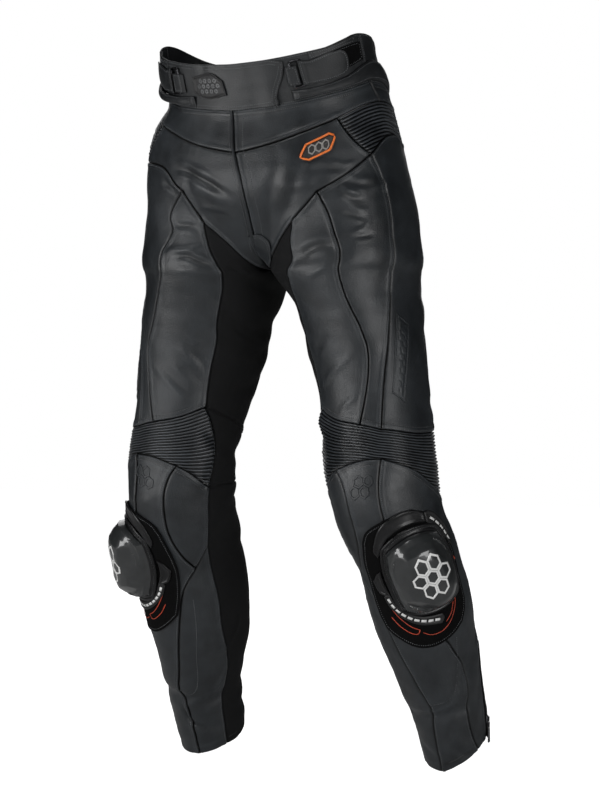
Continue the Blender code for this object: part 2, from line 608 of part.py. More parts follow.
rollTop = ((0.110, -0.0210), (0.195, -0.0205), (0.26, -0.0225), (0.36, -0.0290),
           (0.44, -0.0380), (0.51, -0.0455), (0.70, -0.0460), (1.0, -0.0440))
rollThickness = 0.0055


def makeRoll(collection):
    """Soft roll of leather round the sides and back, on the lower part of the band."""
    left, right = np.linspace(0.152, 1, 22), np.linspace(0.118, 1, 22)
    around = np.concatenate([left, 2 - right[::-1][1:]])
    fold = 1 - np.abs(1 - around)
    top = np.stack([around, edgeAt(rollTop, fold)], -1)
    foot = np.stack([around, edgeAt(bandFoot, fold) - 0.0014], -1)
    plan = planGrid(top, np.linspace(top[-1], foot[-1], 5), foot,
                    np.linspace(top[0], foot[0], 5), len(around) - 1, 4)
    across = np.array([0.10, 0.75, 1.0, 0.75, 0.15])[:, None]
    ends = np.minimum(1, 0.35 + 9 * (fold - np.where(around < 1, 0.152, 0.118)))
    thickness = (0.0008 + rollThickness * across * ends[None])[..., None][..., 0]
    sheetOn("waist_roll", plan, 1, overlayLift, thickness, charcoal, 0.45, collection)


def ringAround(name, centre, size, radius, side, lift, collection):
    """A rounded rectangular wire ring that stands on the trousers at (around, drop)."""
    around, drop = centre
    middle, _ = surface(around, drop, side, lift)
    above, below = (surface(around, drop + step, side, lift)[0] for step in (-0.016, 0.016))
    before, after = (surface(around + step, drop, side, lift)[0] for step in (-0.014, 0.014))
    down = Vector(below - above).normalized()
    over = Vector(after - before)
    over = (over - down * over.dot(down)).normalized()
    curve = bpy.data.curves.new(name, "CURVE")
    curve.dimensions = "3D"
    curve.bevel_depth = radius
    curve.bevel_resolution = 2
    width, height, corner = size[0] / 2, size[1] / 2, 0.003
    spline = curve.splines.new("POLY")
    corners = []
    for quarter, (sx, sy) in enumerate(((1, 1), (-1, 1), (-1, -1), (1, -1))):
        for step in range(4):
            angle = math.radians(90 * quarter + 30 * step)
            corners.append((sx * (width - corner) + corner * math.cos(angle),
                            sy * (height - corner) + corner * math.sin(angle)))
    spline.points.add(len(corners) - 1)
    for point, (x, y) in zip(spline.points, corners):
        point.co = (*(Vector(middle) + over * x + down * y), 1)
    spline.use_cyclic_u = True
    curve.materials.append(material(name, steel, 0.25, 1.0))
    made = bpy.data.objects.new(name, curve)
    collection.objects.link(made)


def makeAdjusters(side, mark, collection):
    """Tab, ring, strap and hook-and-loop patch that take the waist in at one side."""
    ringAround("adjuster_ring" + mark, (0.187, -0.041), (0.016, 0.035), 0.0014, side, 0.0030,
               collection)
    tab = planGrid(np.array([(0.150, -0.0500), (0.188, -0.0510)]),
                   np.array([(0.188, -0.0510), (0.188, -0.0270)]),
                   np.array([(0.150, -0.0260), (0.188, -0.0270)]),
                   np.array([(0.150, -0.0500), (0.150, -0.0260)]), 5, 2)
    sheetOn("ring_tab" + mark, tab, side, overlayLift + 0.0046 * stepUp(tab[..., 0], 0.149, 0.157),
            0.0015, charcoal, 0.45, collection)
    strap = planGrid(curveThrough(((0.197, -0.0570), (0.235, -0.0550), (0.298, -0.0600),
                                   (0.352, -0.0615)), 10),
                     curveThrough(((0.352, -0.0615), (0.372, -0.0575), (0.380, -0.0480),
                                   (0.372, -0.0370), (0.350, -0.0315)), 4),
                     curveThrough(((0.197, -0.0255), (0.290, -0.0275), (0.350, -0.0315)), 10),
                     np.array([(0.197, -0.0570), (0.197, -0.0255)]), 10, 4)
    overRing = 0.0036 * (1 - stepUp(strap[..., 0], 0.204, 0.230))
    sheetOn("adjuster_strap" + mark, strap, side, 0.0024 + overRing, 0.0018, charcoal, 0.45,
            collection)
    loop = planGrid(np.array([(0.285, -0.0590), (0.370, -0.0640), (0.455, -0.0660)]),
                    np.array([(0.455, -0.0660), (0.455, -0.0440)]),
                    np.array([(0.285, -0.0345), (0.370, -0.0380), (0.455, -0.0440)]),
                    np.array([(0.285, -0.0590), (0.285, -0.0345)]), 6, 2)
    sheetOn("velcro_loop" + mark, loop, side, overlayLift * 0.7, 0.0010, black, 0.9, collection)


def makeFacing(collection):
    """Strip behind the fly's slit, on the inside of the panels on both sides of it."""
    columns = []
    for mark, column in (("_right", 1), ("_right", 0), ("_left", 0), ("_left", 1)):
        run = []
        for name, rows in (("yoke_front", slice(0, 3)), ("front_panel", slice(1, 6))):
            inside, normals = laid[name + mark]
            run.append(np.stack([inside[rows, column], normals[rows, column]], 1))
        columns.append(np.concatenate(run))
    grid = np.stack(columns, 1)
    points, normals = grid[..., 0, :], grid[..., 1, :]
    wallObject("fly_facing", points - normals * facingGap, points - normals * (facingGap + 0.0012),
               black, 0.7, collection)


def makeFrontDetails(collection):
    badge = planGrid(curveThrough(((0.112, -0.0460), (0.050, -0.0510), (0.020, -0.0400)), 4),
                     np.array([(0.020, -0.0400), (0.016, -0.0210)]),
                     np.array([(0.115, -0.0250), (0.070, -0.0170), (0.016, -0.0210)]),
                     np.array([(0.112, -0.0460), (0.115, -0.0250)]), 4, 3)
    sheetOn("waist_badge", badge, -1, overlayLift, 0.0022, black, 0.5, collection)
    emblem = planGrid(np.array([(0.165, 0.0430), (0.215, 0.0380), (0.255, 0.0400)]),
                      np.array([(0.255, 0.0400), (0.268, 0.0560), (0.255, 0.0720)]),
                      np.array([(0.165, 0.0740), (0.215, 0.0760), (0.255, 0.0720)]),
                      np.array([(0.165, 0.0430), (0.157, 0.0580), (0.165, 0.0740)]), 4, 4)
    sheetOn("hip_emblem", emblem, 1, overlayLift, 0.0018, orange, 0.5, collection)
    patch = planGrid(np.array([(0.018, 0.1680), (0.030, 0.1670), (0.046, 0.1690)]),
                     curveThrough(((0.046, 0.1690), (0.062, 0.1760), (0.084, 0.1900)), 3),
                     curveThrough(((0.004, 0.2060), (0.040, 0.2025), (0.084, 0.1900)), 4),
                     np.array([(0.018, 0.1680), (0.007, 0.1840), (0.004, 0.2060)]), 4, 5)
    sheetOn("crotch_patch", patch, 1, 0.0009, 0.0012, charcoal, 0.42, collection)


# ---------------------------------------------------------------- knee sliders and zip pulls
sliderCentre = (0.370, 0.5945)


def makeSlider(side, mark, collection):
    """Hook-and-loop pad, moulded base and the hard puck that the knee slides on."""
    pad = planGrid(curveThrough(((0.232, 0.5440), (0.262, 0.5340), (0.355, 0.5300),
                                 (0.430, 0.5350), (0.482, 0.5500)), 10),
                   curveThrough(((0.482, 0.5500), (0.506, 0.5880), (0.493, 0.6250),
                                 (0.490, 0.6600), (0.462, 0.6820)), 10),
                   curveThrough(((0.218, 0.6640), (0.275, 0.6920), (0.330, 0.7000),
                                 (0.400, 0.6960), (0.462, 0.6820)), 10),
                   curveThrough(((0.232, 0.5440), (0.203, 0.5700), (0.190, 0.6000),
                                 (0.198, 0.6320), (0.218, 0.6640)), 10), 10, 10)
    sheetOn("slider_velcro" + mark, pad, side, 0.0010, 0.0016, black, 0.95, collection)
    base = roundPlan((0.372, 0.5955), 0.118, 0.0535, 8, 8)
    sheetOn("slider_base" + mark, base, side, 0.0032, 0.0030, black, 0.5, collection)
    makePuck(side, mark, collection)


def roundPlan(centre, halfAround, halfDrop, columns, rows):
    """A grid of places that fills a rounded oblong."""
    x, y = np.meshgrid(np.linspace(-1, 1, columns + 1), np.linspace(-1, 1, rows + 1))
    round1 = x * np.sqrt(1 - 0.36 * y**2)
    round2 = y * np.sqrt(1 - 0.36 * x**2)
    return np.stack([centre[0] + halfAround * round1, centre[1] + halfDrop * round2], -1)


def makePuck(side, mark, collection):
    plan = roundPlan(sliderCentre, 0.100, 0.0455, 8, 8)
    _, axis = surface(*sliderCentre, side)
    low, _ = surface(plan[..., 0], plan[..., 1], side, 0.0067)
    reach = np.maximum(*np.abs(np.meshgrid(np.linspace(-1, 1, 9), np.linspace(-1, 1, 9))))
    height = np.interp(reach, (0, 0.25, 0.5, 0.75, 1), (0.0285, 0.0280, 0.0260, 0.0210, 0.0070))
    middle = low.mean(axis=(0, 1))
    drawIn = 1 - 0.16 * (1 - reach)[..., None]
    high = middle + (low - middle) * drawIn + axis * height[..., None]
    wallObject("slider_puck" + mark, high, low, (0.05, 0.05, 0.055), 0.15, collection)


# Where each pull hangs from the slider at the foot of its zip: left 1, right -1.
zipPullPlace = {1: (0.5265, 0.8412), -1: (0.5265, 0.8537)}


def makeZipPull(side, mark, collection):
    """Tab that swings on the slider of the ankle zip. Its origin is on its axis."""
    place, normal = surface(*zipPullPlace[side], side, 0.0043)
    normal = Vector(normal)
    bm = bmesh.new()
    bmesh.ops.create_cube(bm, size=1.0)
    for vert in bm.verts:
        low = vert.co.z < 0
        vert.co = (vert.co.x * (0.0085 if low else 0.0055), vert.co.y * 0.0018,
                   -0.0280 if low else 0.0010)
    bmesh.ops.bevel(bm, geom=bm.edges[:], offset=0.0005, segments=1, affect="EDGES")
    made = finish("zip_pull" + mark, bm, steel, 0.3, collection, 1.0)
    made.location = place
    heading = math.atan2(normal.y, normal.x) + math.pi / 2
    made.rotation_euler = (0, 0, heading)


# ---------------------------------------------------------------- assembly
for old in list(bpy.data.objects):
    bpy.data.objects.remove(old)
trousers = bpy.data.collections.new("motorcycle_trousers")
bpy.context.scene.collection.children.link(trousers)

for side, mark in ((1, "_left"), (-1, "_right")):
    makePanels(side, mark, trousers)
    makeAdjusters(side, mark, trousers)
    makeSlider(side, mark, trousers)
    makeZipPull(side, mark, trousers)
makeYokeBack(trousers)
makeWaistband(trousers)
makeRoll(trousers)
makeFacing(trousers)
makeFrontDetails(trousers)
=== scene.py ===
# Leather motorcycle trousers with accordion knees and hips, knee sliders and ankle zips,
# filled out as worn. Metres; the front faces -Y, +X is the wearer's left, and the origin is in
# the middle of the waist. A place is (around, drop): around runs 0 to 1 from the centre front
# over the hip to the centre back, and once round a leg from its inseam; drop is metres below
# the waist seam.
import json
import math

import bmesh
import bpy
import numpy as np
from mathutils import Matrix, Vector


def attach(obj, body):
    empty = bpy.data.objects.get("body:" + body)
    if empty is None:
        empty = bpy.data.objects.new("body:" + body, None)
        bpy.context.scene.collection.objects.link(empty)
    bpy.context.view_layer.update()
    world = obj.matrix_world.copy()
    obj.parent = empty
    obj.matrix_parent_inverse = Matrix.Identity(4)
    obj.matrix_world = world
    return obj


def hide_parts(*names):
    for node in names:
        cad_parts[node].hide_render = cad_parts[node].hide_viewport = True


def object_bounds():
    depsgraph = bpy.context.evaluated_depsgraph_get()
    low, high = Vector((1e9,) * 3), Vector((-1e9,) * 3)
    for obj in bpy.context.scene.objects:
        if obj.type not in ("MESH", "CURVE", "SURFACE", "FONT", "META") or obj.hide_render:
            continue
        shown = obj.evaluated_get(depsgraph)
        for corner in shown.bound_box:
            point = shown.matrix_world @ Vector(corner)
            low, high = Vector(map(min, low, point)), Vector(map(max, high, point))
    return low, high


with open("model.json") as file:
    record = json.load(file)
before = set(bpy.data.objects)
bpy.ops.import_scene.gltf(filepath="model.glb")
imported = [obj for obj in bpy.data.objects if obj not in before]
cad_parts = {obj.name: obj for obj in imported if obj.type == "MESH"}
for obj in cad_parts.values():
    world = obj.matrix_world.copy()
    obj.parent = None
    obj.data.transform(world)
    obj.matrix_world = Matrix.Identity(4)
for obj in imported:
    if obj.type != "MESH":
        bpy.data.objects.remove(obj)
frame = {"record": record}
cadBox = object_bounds()
print("frame loaded")

cut = {
    "crotchDrop": 0.213,
    "forkStart": 0.075,       # from here down the trunk turns into legs
    "hemDrop": 0.9,
    "backDip": 0.81,          # share of the rise at the hips that the back gives up again
    "waistLean": 0.009,       # the band leans this far to the wearer's right
    "flyGap": 0.0011,         # how far the slit stands open
    "girth": 0.60,            # metres that one whole unit of around spans at the hips
}

# drop, half width, front, back, rise at the back, middle
trunkRows = (
    (-0.090, 0.151, 0.104, 0.108, 0.062, -0.026),
    (-0.060, 0.154, 0.106, 0.110, 0.060, -0.019),
    (-0.030, 0.157, 0.110, 0.115, 0.054, -0.010),
    (0.000, 0.161, 0.115, 0.121, 0.046, -0.002),
    (0.050, 0.172, 0.124, 0.134, 0.030, 0.000),
    (0.105, 0.185, 0.126, 0.146, 0.014, 0.000),
    (0.160, 0.195, 0.116, 0.144, 0.004, 0.000),
    (0.213, 0.200, 0.104, 0.132, 0.000, 0.002),
)
# drop, x, y, half width, half depth, degrees turned out
legRows = (
    (0.105, 0.1000, 0.002, 0.1000, 0.1180, 0.0),
    (0.160, 0.1000, 0.002, 0.1000, 0.1120, 0.0),
    (0.213, 0.1005, 0.003, 0.1005, 0.1060, 0.0),
    (0.240, 0.1090, 0.008, 0.0905, 0.1030, 10.0),
    (0.275, 0.1200, 0.013, 0.0840, 0.0990, 16.0),
    (0.320, 0.1310, 0.013, 0.0780, 0.0920, 18.0),
    (0.389, 0.1440, 0.007, 0.0730, 0.0790, 20.0),
    (0.440, 0.1520, 0.003, 0.0735, 0.0760, 22.0),
    (0.492, 0.1585, 0.001, 0.0735, 0.0755, 24.0),
    (0.527, 0.1630, 0.006, 0.0710, 0.0755, 25.0),
    (0.600, 0.1760, 0.043, 0.0670, 0.0780, 25.0),
    (0.660, 0.1795, 0.070, 0.0690, 0.0765, 25.0),
    (0.720, 0.1840, 0.094, 0.0630, 0.0710, 24.0),
    (0.775, 0.1920, 0.112, 0.0550, 0.0620, 20.0),
    (0.830, 0.1990, 0.133, 0.0480, 0.0530, 15.0),
    (0.900, 0.2002, 0.158, 0.0446, 0.0474, 9.5),
)
# around, drop, degrees from level, half length, half width, height
swells = (
    (0.270, 0.715, 90, 0.085, 0.040, 0.0045),
    (0.260, 0.515, 0, 0.050, 0.030, 0.0040),
    (0.260, 0.802, 0, 0.075, 0.009, -0.0045),
    (0.800, 0.455, 0, 0.090, 0.014, -0.0060),
    (0.780, 0.492, 8, 0.080, 0.012, -0.0045),
    (0.830, 0.272, -6, 0.110, 0.014, -0.0060),
)
swellsLeft = (
    (0.225, 0.197, 8, 0.060, 0.012, -0.0040),
    (0.320, 0.110, 20, 0.050, 0.012, 0.0030),
    (0.000, 0.254, 0, 0.075, 0.030, -0.0100),
    (0.050, 0.412, 0, 0.045, 0.016, 0.0045),
)
swellsRight = (
    (0.360, 0.058, 90, 0.055, 0.090, 0.0110),
    (0.360, -0.010, 0, 0.090, 0.018, -0.0055),
    (0.970, 0.850, 0, 0.050, 0.030, 0.0045),
)
# Finer creases, same columns. A negative height is a crease with a soft roll on each side.
creases = (
    (0.700, 0.230, -10, 0.050, 0.008, -0.0016),
    (0.880, 0.300, -16, 0.045, 0.008, -0.0020),
    (0.760, 0.420, 10, 0.060, 0.007, -0.0022),
    (0.840, 0.520, -8, 0.060, 0.008, -0.0024),
    (0.720, 0.560, 14, 0.050, 0.009, -0.0020),
    (0.860, 0.600, -18, 0.050, 0.010, -0.0018),
    (0.760, 0.740, 20, 0.055, 0.010, -0.0018),
    (0.860, 0.800, -14, 0.045, 0.009, -0.0022),
    (0.700, 0.830, 10, 0.045, 0.008, -0.0022),
    (0.940, 0.840, 8, 0.040, 0.008, -0.0018),
    (0.020, 0.300, 24, 0.050, 0.009, -0.0018),
    (0.960, 0.350, -20, 0.045, 0.009, -0.0018),
    (0.040, 0.440, 16, 0.045, 0.008, -0.0018),
    (0.600, 0.300, 30, 0.045, 0.009, -0.0012),
    (0.620, 0.400, 14, 0.050, 0.008, -0.0016),
)
creasesLeft = (
    (0.180, 0.860, -12, 0.030, 0.006, -0.0014),
    (0.350, 0.860, -16, 0.025, 0.006, -0.0014),
    (0.060, 0.225, 30, 0.040, 0.007, -0.0022),
    (0.090, 0.255, 38, 0.040, 0.007, -0.0018),
    (0.150, 0.100, 66, 0.040, 0.009, -0.0010),
    (0.080, 0.120, 80, 0.045, 0.008, -0.0012),
)
creasesRight = (
    (0.150, 0.850, 20, 0.028, 0.006, -0.0018),
    (0.300, 0.870, -10, 0.030, 0.006, -0.0014),
    (0.060, 0.225, 28, 0.040, 0.007, -0.0022),
    (0.100, 0.262, 34, 0.040, 0.007, -0.0018),
    (0.120, 0.120, 80, 0.045, 0.008, -0.0010),
    (0.230, 0.600, 60, 0.040, 0.008, -0.0014),
)

# Folds as they run over each leg: half width, height and the places along each one. A negative
# height is a crease with a soft roll on each side.
foldLines = {
    1: (
        (0.004, -0.0018, ((0.267, 0.094), (0.307, 0.102), (0.347, 0.105), (0.391, 0.102))),
        (0.0026, 0.0022, ((0.263, 0.105), (0.303, 0.113), (0.347, 0.12))),
        (0.003, -0.0016, ((0.256, 0.109), (0.307, 0.12), (0.362, 0.124))),
        (0.0035, 0.0018, ((0.358, 0.113), (0.398, 0.109), (0.434, 0.102), (0.489, 0.09))),
        (0.0035, 0.0016, ((0.285, 0.128), (0.318, 0.132), (0.347, 0.136), (0.369, 0.132))),
        (0.0032, -0.0013, ((0.289, 0.139), (0.329, 0.143), (0.369, 0.147))),
        (0.003, 0.0014, ((0.322, 0.166), (0.351, 0.162), (0.369, 0.154), (0.372, 0.139))),
        (0.0026, -0.0014, ((0.329, 0.17), (0.358, 0.17), (0.394, 0.166))),
        (0.005, -0.0024, ((0.223, 0.196), (0.252, 0.184), (0.278, 0.181), (0.307, 0.184))),
        (0.0032, 0.0015, ((0.234, 0.226), (0.271, 0.215), (0.296, 0.207))),
        (0.0045, -0.0012, ((0.154, 0.087), (0.212, 0.083), (0.296, 0.083))),
        (0.003, 0.001, ((0.231, 0.075), (0.289, 0.079), (0.332, 0.075))),
        (0.008, 0.0015, ((0.099, 0.109), (0.161, 0.102), (0.22, 0.094))),
        (0.003, 0.0018, ((0.125, 0.377), (0.18, 0.361), (0.227, 0.35), (0.263, 0.339),
            (0.296, 0.328))),
        (0.0022, 0.0022, ((0.209, 0.41), (0.238, 0.399), (0.26, 0.392), (0.278, 0.384))),
        (0.005, -0.0015, ((0.136, 0.328), (0.19, 0.309), (0.238, 0.297))),
        (0.005, -0.0015, ((0.474, 0.301), (0.471, 0.339), (0.478, 0.365))),
        (0.003, 0.0012, ((0.307, 0.501), (0.358, 0.501), (0.413, 0.501))),
        (0.003, -0.0012, ((0.307, 0.508), (0.354, 0.508), (0.409, 0.512))),
        (0.0026, -0.0018, ((0.16, 0.78), (0.2, 0.786), (0.249, 0.787), (0.329, 0.787),
            (0.376, 0.776), (0.409, 0.753), (0.42, 0.719))),
        (0.003, 0.0014, ((0.18, 0.796), (0.238, 0.795), (0.329, 0.795), (0.402, 0.787))),
        (0.005, -0.0016, ((0.278, 0.847), (0.311, 0.825), (0.354, 0.81))),
        (0.003, -0.0012, ((0.212, 0.527), (0.241, 0.531), (0.278, 0.535))),
    ),
    -1: (
        (0.005, -0.003, ((0.198, 0.075), (0.129, 0.079), (0.081, 0.09), (0.041, 0.102),
            (0.012, 0.113), (0.001, 0.124))),
        (0.008, 0.0022, ((0.139, 0.098), (0.089, 0.105), (0.045, 0.117), (0.016, 0.128))),
        (0.004, 0.0016, ((0.129, 0.128), (0.074, 0.128), (0.038, 0.132), (0.019, 0.139))),
        (0.004, -0.0024, ((0.231, 0.09), (0.198, 0.098), (0.169, 0.109))),
        (0.0035, -0.0024, ((0.234, 0.151), (0.198, 0.151), (0.161, 0.154))),
        (0.0035, 0.0028, ((0.285, 0.192), (0.256, 0.184), (0.227, 0.184), (0.19, 0.181),
            (0.169, 0.184))),
        (0.0034, -0.003, ((0.256, 0.196), (0.227, 0.192), (0.198, 0.2), (0.169, 0.207))),
        (0.005, 0.0016, ((0.271, 0.215), (0.234, 0.211), (0.201, 0.215), (0.172, 0.222))),
        (0.0026, 0.0016, ((0.212, 0.294), (0.187, 0.301), (0.158, 0.309))),
        (0.003, 0.0022, ((0.227, 0.313), (0.198, 0.324), (0.176, 0.335), (0.143, 0.346))),
        (0.003, 0.0022, ((0.241, 0.346), (0.209, 0.354), (0.187, 0.361), (0.158, 0.373))),
        (0.0035, 0.0022, ((0.307, 0.35), (0.267, 0.361), (0.234, 0.373), (0.205, 0.384),
            (0.169, 0.392))),
        (0.003, -0.0014, ((0.198, 0.316), (0.161, 0.328), (0.132, 0.346))),
        (0.003, -0.0014, ((0.209, 0.343), (0.172, 0.35), (0.139, 0.365))),
        (0.003, -0.0014, ((0.249, 0.361), (0.205, 0.373), (0.165, 0.384))),
        (0.003, 0.0012, ((0.387, 0.523), (0.292, 0.516), (0.26, 0.516), (0.234, 0.508))),
        (0.003, -0.0022, ((0.132, 0.693), (0.143, 0.712), (0.136, 0.738))),
        (0.0032, 0.002, ((0.136, 0.723), (0.103, 0.734), (0.07, 0.731), (0.038, 0.719),
            (0.012, 0.704), (0.005, 0.678))),
        (0.0032, 0.0032, ((0.278, 0.825), (0.227, 0.81), (0.169, 0.802), (0.125, 0.791),
            (0.085, 0.776), (0.052, 0.753))),
        (0.003, -0.0028, ((0.271, 0.81), (0.263, 0.825), (0.245, 0.84), (0.194, 0.851),
            (0.121, 0.862))),
        (0.005, -0.0016, ((0.201, 0.821), (0.147, 0.813), (0.089, 0.802), (0.052, 0.783))),
        (0.0022, -0.0015, ((0.129, 0.264), (0.099, 0.275), (0.056, 0.286), (0.005, 0.294),
            (-0.046, 0.301))),
    ),
}


def unit(vectors):
    return vectors / np.maximum(np.linalg.norm(vectors, axis=-1, keepdims=True), 1e-12)


def rise(value, start, end):
    u = np.clip((value - start) / (end - start), 0, 1)
    return u**2 * (3 - 2 * u)


def ridge(value, middle, width):
    # 1 at the middle, and falling off smoothly on both sides
    return np.exp(-((value - middle) / width) ** 2)


def alongRun(points):
    # distance of each point from the first one, along the run
    return np.concatenate([[0], np.cumsum(np.linalg.norm(np.diff(points, axis=0), axis=1))])


def follow(rows, drop):
    table = np.array(rows)
    at = table[:, 0]
    drop = np.clip(np.asarray(drop, float), at[0], at[-1])
    k = np.clip(np.searchsorted(at, drop, side="right") - 1, 0, len(at) - 2)
    slope = (table[1:] - table[:-1]) / np.diff(at)[:, None]
    lean = np.vstack([slope[:1], slope[1:], slope[-1:]])
    weight = (np.diff(at)[:-1] / (at[2:] - at[:-2]))[:, None]
    lean[1:-1] = slope[1:] * weight + slope[:-1] * (1 - weight)
    step = (at[k + 1] - at[k])[..., None]
    u = ((drop - at[k])[..., None]) / step
    start = (2 * u**3 - 3 * u**2 + 1) * table[k] + (u**3 - 2 * u**2 + u) * step * lean[k]
    end = (3 * u**2 - 2 * u**3) * table[k + 1] + (u**3 - u**2) * step * lean[k + 1]
    return np.moveaxis(start + end, -1, 0)


def squared(wave, fullness):
    return np.sign(wave) * np.abs(wave) ** (2 / fullness)


def trunkRing(around, drop):
    _, halfWidth, front, back, riseBack, middle = follow(trunkRows, drop)
    angle = np.pi * around
    c, s = squared(np.cos(angle), 2.3), squared(np.sin(angle), 2.3)
    depth = np.where(np.cos(angle) > 0, front, back)
    level = (1 - np.cos(angle)) / 2 - cut["backDip"] * rise(around, 0.44, 0.8)
    z = riseBack * level - drop
    return np.stack([halfWidth * s, middle - depth * c, z], -1)


def legCentre(drop):
    _, x, y, _, _, _ = follow(legRows, drop)
    return np.stack([x, y, -np.asarray(drop, float)], -1)


def legRing(around, drop):
    _, x, _, halfWidth, halfDepth, turnOut = follow(legRows, drop)
    overCentre = np.where(drop < cut["crotchDrop"], np.maximum(halfWidth - x, 0), 0)
    middle = legCentre(drop) + overCentre[..., None] * np.array([1.0, 0, 0])
    reach = 0.02
    low, high = legCentre(np.minimum(drop + reach, cut["hemDrop"])), legCentre(drop - reach)
    square = rise(drop, cut["crotchDrop"], cut["crotchDrop"] + 0.12)[..., None]
    down = unit(unit(low - high) * square + np.array([0, 0, -1.0]) * (1 - square))
    side = unit(np.array([1.0, 0, 0]) - down[..., :1] * down)
    back = np.cross(side, down)
    angle = 2 * np.pi * around
    c, s = -squared(np.cos(angle), 2.15), -squared(np.sin(angle), 2.15)
    turn = np.radians(turnOut)
    cc, ss, cs = np.cos(turn) ** 2, np.sin(turn) ** 2, np.sin(turn) * np.cos(turn)
    mixed = (halfWidth - halfDepth) * cs
    across = (halfWidth * cc + halfDepth * ss) * c + mixed * s
    along = mixed * c + (halfWidth * ss + halfDepth * cc) * s
    return middle + across[..., None] * side + along[..., None] * back


def smoothForm(around, drop, onLeg):
    turned = np.where(onLeg, around % 1, around % 2)
    mirrored = turned > 1
    turned = np.where(mirrored, 2 - turned, turned)
    part = np.clip((drop - cut["forkStart"]) / (cut["crotchDrop"] - cut["forkStart"]), 0, 1)
    spread = part**2 * (3 - 2 * part)
    pinch = 1 - np.sqrt(np.maximum(1 - part**2, 0))
    nearSeam = ((1 + np.cos(2 * np.pi * turned)) / 2) ** 8
    share = (spread * (1 - nearSeam) + pinch * nearSeam)[..., None]
    trunk = trunkRing(turned, np.minimum(drop, cut["crotchDrop"]))
    leg = legRing(turned, np.maximum(drop, legRows[0][0]))
    points = trunk * (1 - share) + leg * share
    points[..., 0] = np.where(mirrored, -points[..., 0], points[..., 0])
    return points


def isOnLeg(drop):
    return drop > cut["crotchDrop"] - 1e-5


def onForm(places):
    return smoothForm(places[..., 0], places[..., 1], isOnLeg(places[..., 1]))


def slopes(around, drop):
    # The directions of one step around and one step down on the smooth form.
    onLeg = isOnLeg(drop)
    e = 0.003
    high = np.where(onLeg, np.maximum(drop - e, cut["crotchDrop"]), drop - e)
    low = np.where(onLeg, drop + e, np.minimum(drop + e, cut["crotchDrop"] - 1e-6))
    over = smoothForm(around + e, drop, onLeg) - smoothForm(around - e, drop, onLeg)
    down = smoothForm(around, low, onLeg) - smoothForm(around, high, onLeg)
    return over / (2 * e), down / (low - high)[..., None]


def foldHeight(around, drop, side):
    # Height of the swells, folds and creases above the smooth form.
    total = np.zeros(np.broadcast(around, drop).shape)
    big = swells + (swellsLeft if side > 0 else swellsRight)
    small = creases + (creasesLeft if side > 0 else creasesRight)
    for number, (at, level, angle, halfLength, halfWidth, height) in enumerate(big + small):
        onHips = level < cut["crotchDrop"]
        girth = cut["girth"] if onHips else 0.48 - 0.2 * max(0, level - 0.5)
        x = (np.mod(around - at + 0.5, 1) - 0.5) * girth
        y = level - drop
        tilt = math.radians(angle)
        along = (x * math.cos(tilt) + y * math.sin(tilt)) / halfLength
        across = (y * math.cos(tilt) - x * math.sin(tilt)) / halfWidth
        if number >= len(big):
            across = across + 0.5 * np.sin(along * 2.2 + number)     # a crease wanders a little
        shape = np.exp(-across**2)
        if number >= len(big) and height < 0:
            shape = shape - 0.42 * ridge(np.abs(across), 2.1, 1.2)
        total += height * shape * np.exp(-np.abs(along) ** (4 if number < len(big) else 2.4))
    return total


waves = np.random.default_rng(7).normal(size=(14, 3))
wavePhases = np.random.default_rng(8).uniform(0, 2 * np.pi, 14)


def undulation(points):
    # Low uneven swell of soft leather: seven long waves and seven short ones, in metres.
    total = np.zeros(points.shape[:-1])
    for k in range(14):
        length = 0.075 + 0.012 * k if k < 7 else 0.018 + 0.004 * (k - 7)
        size = 0.00042 if k < 7 else 0.00009
        total += size * np.sin(points @ unit(waves[k]) * 2 * np.pi / length + wavePhases[k])
    return total


foldRuns = {}


def lineFolds(points, side):
    # height of the folds that run along lines, at these points of the smooth form
    if side not in foldRuns:
        foldRuns[side] = [(width, height, onForm(curveThrough(line, 20)))
                          for width, height, line in foldLines[side]]
    flat, total = points.reshape(-1, 3), np.zeros(points.size // 3)
    for width, height, line in foldRuns[side]:
        reach = 3.4 * width     # past this a fold is flat
        near = np.all((flat > line.min(axis=0) - reach) & (flat < line.max(axis=0) + reach), axis=1)
        if not near.any():
            continue
        gap, place = nearest(flat[near], line)
        shape = ridge(gap, 0, width)
        if height < 0:
            shape = shape - 0.35 * ridge(gap / width, 1.9, 0.9)
        length = lengthOf(line)
        ends = rise(place, 0, 0.35 * length) * (1 - rise(place, 0.65 * length, length))
        total[near] += height * shape * ends
    return total.reshape(points.shape[:-1])


def surface(around, drop, side=1, lift=0.0):
    # Points on the outside of the trousers raised by lift, and the outward directions.
    around, drop = np.broadcast_arrays(np.asarray(around, float), np.asarray(drop, float))
    over, down = slopes(around, drop)
    normals = unit(np.cross(down, over))
    points = smoothForm(around, drop, isOnLeg(drop))
    height = np.asarray(lift, float)
    height = height + foldHeight(around, drop, side) + undulation(points)
    height = height + lineFolds(points, side)
    points = points + normals * np.broadcast_to(height, around.shape)[..., None]
    flip = np.array([side, 1, 1])
    return lean(points * flip), normals * flip


def lean(points):
    points[..., 0] -= cut["waistLean"] * rise(points[..., 2], 0, 0.07)
    return points


# the front slit from the waist seam to the crotch
flyLine = ((-0.006, 0), (0.002, 0.056), (0.014, 0.095), (0.018, 0.13), (0.014, 0.165),
           (0.004, 0.19), (0, 0.202), (0, 0.213))
# drop of each leg's hem at 0.087, 0.240, 0.330, 0.440, 0.503, 0.537, 0.700, 0.850 and 1 round it
hemDrops = {
    1: (0.885, 0.888, 0.877, 0.866, 0.86, 0.861, 0.86, 0.864, 0.876),
    -1: (0.885, 0.893, 0.893, 0.888, 0.88, 0.876, 0.866, 0.872, 0.883),
}


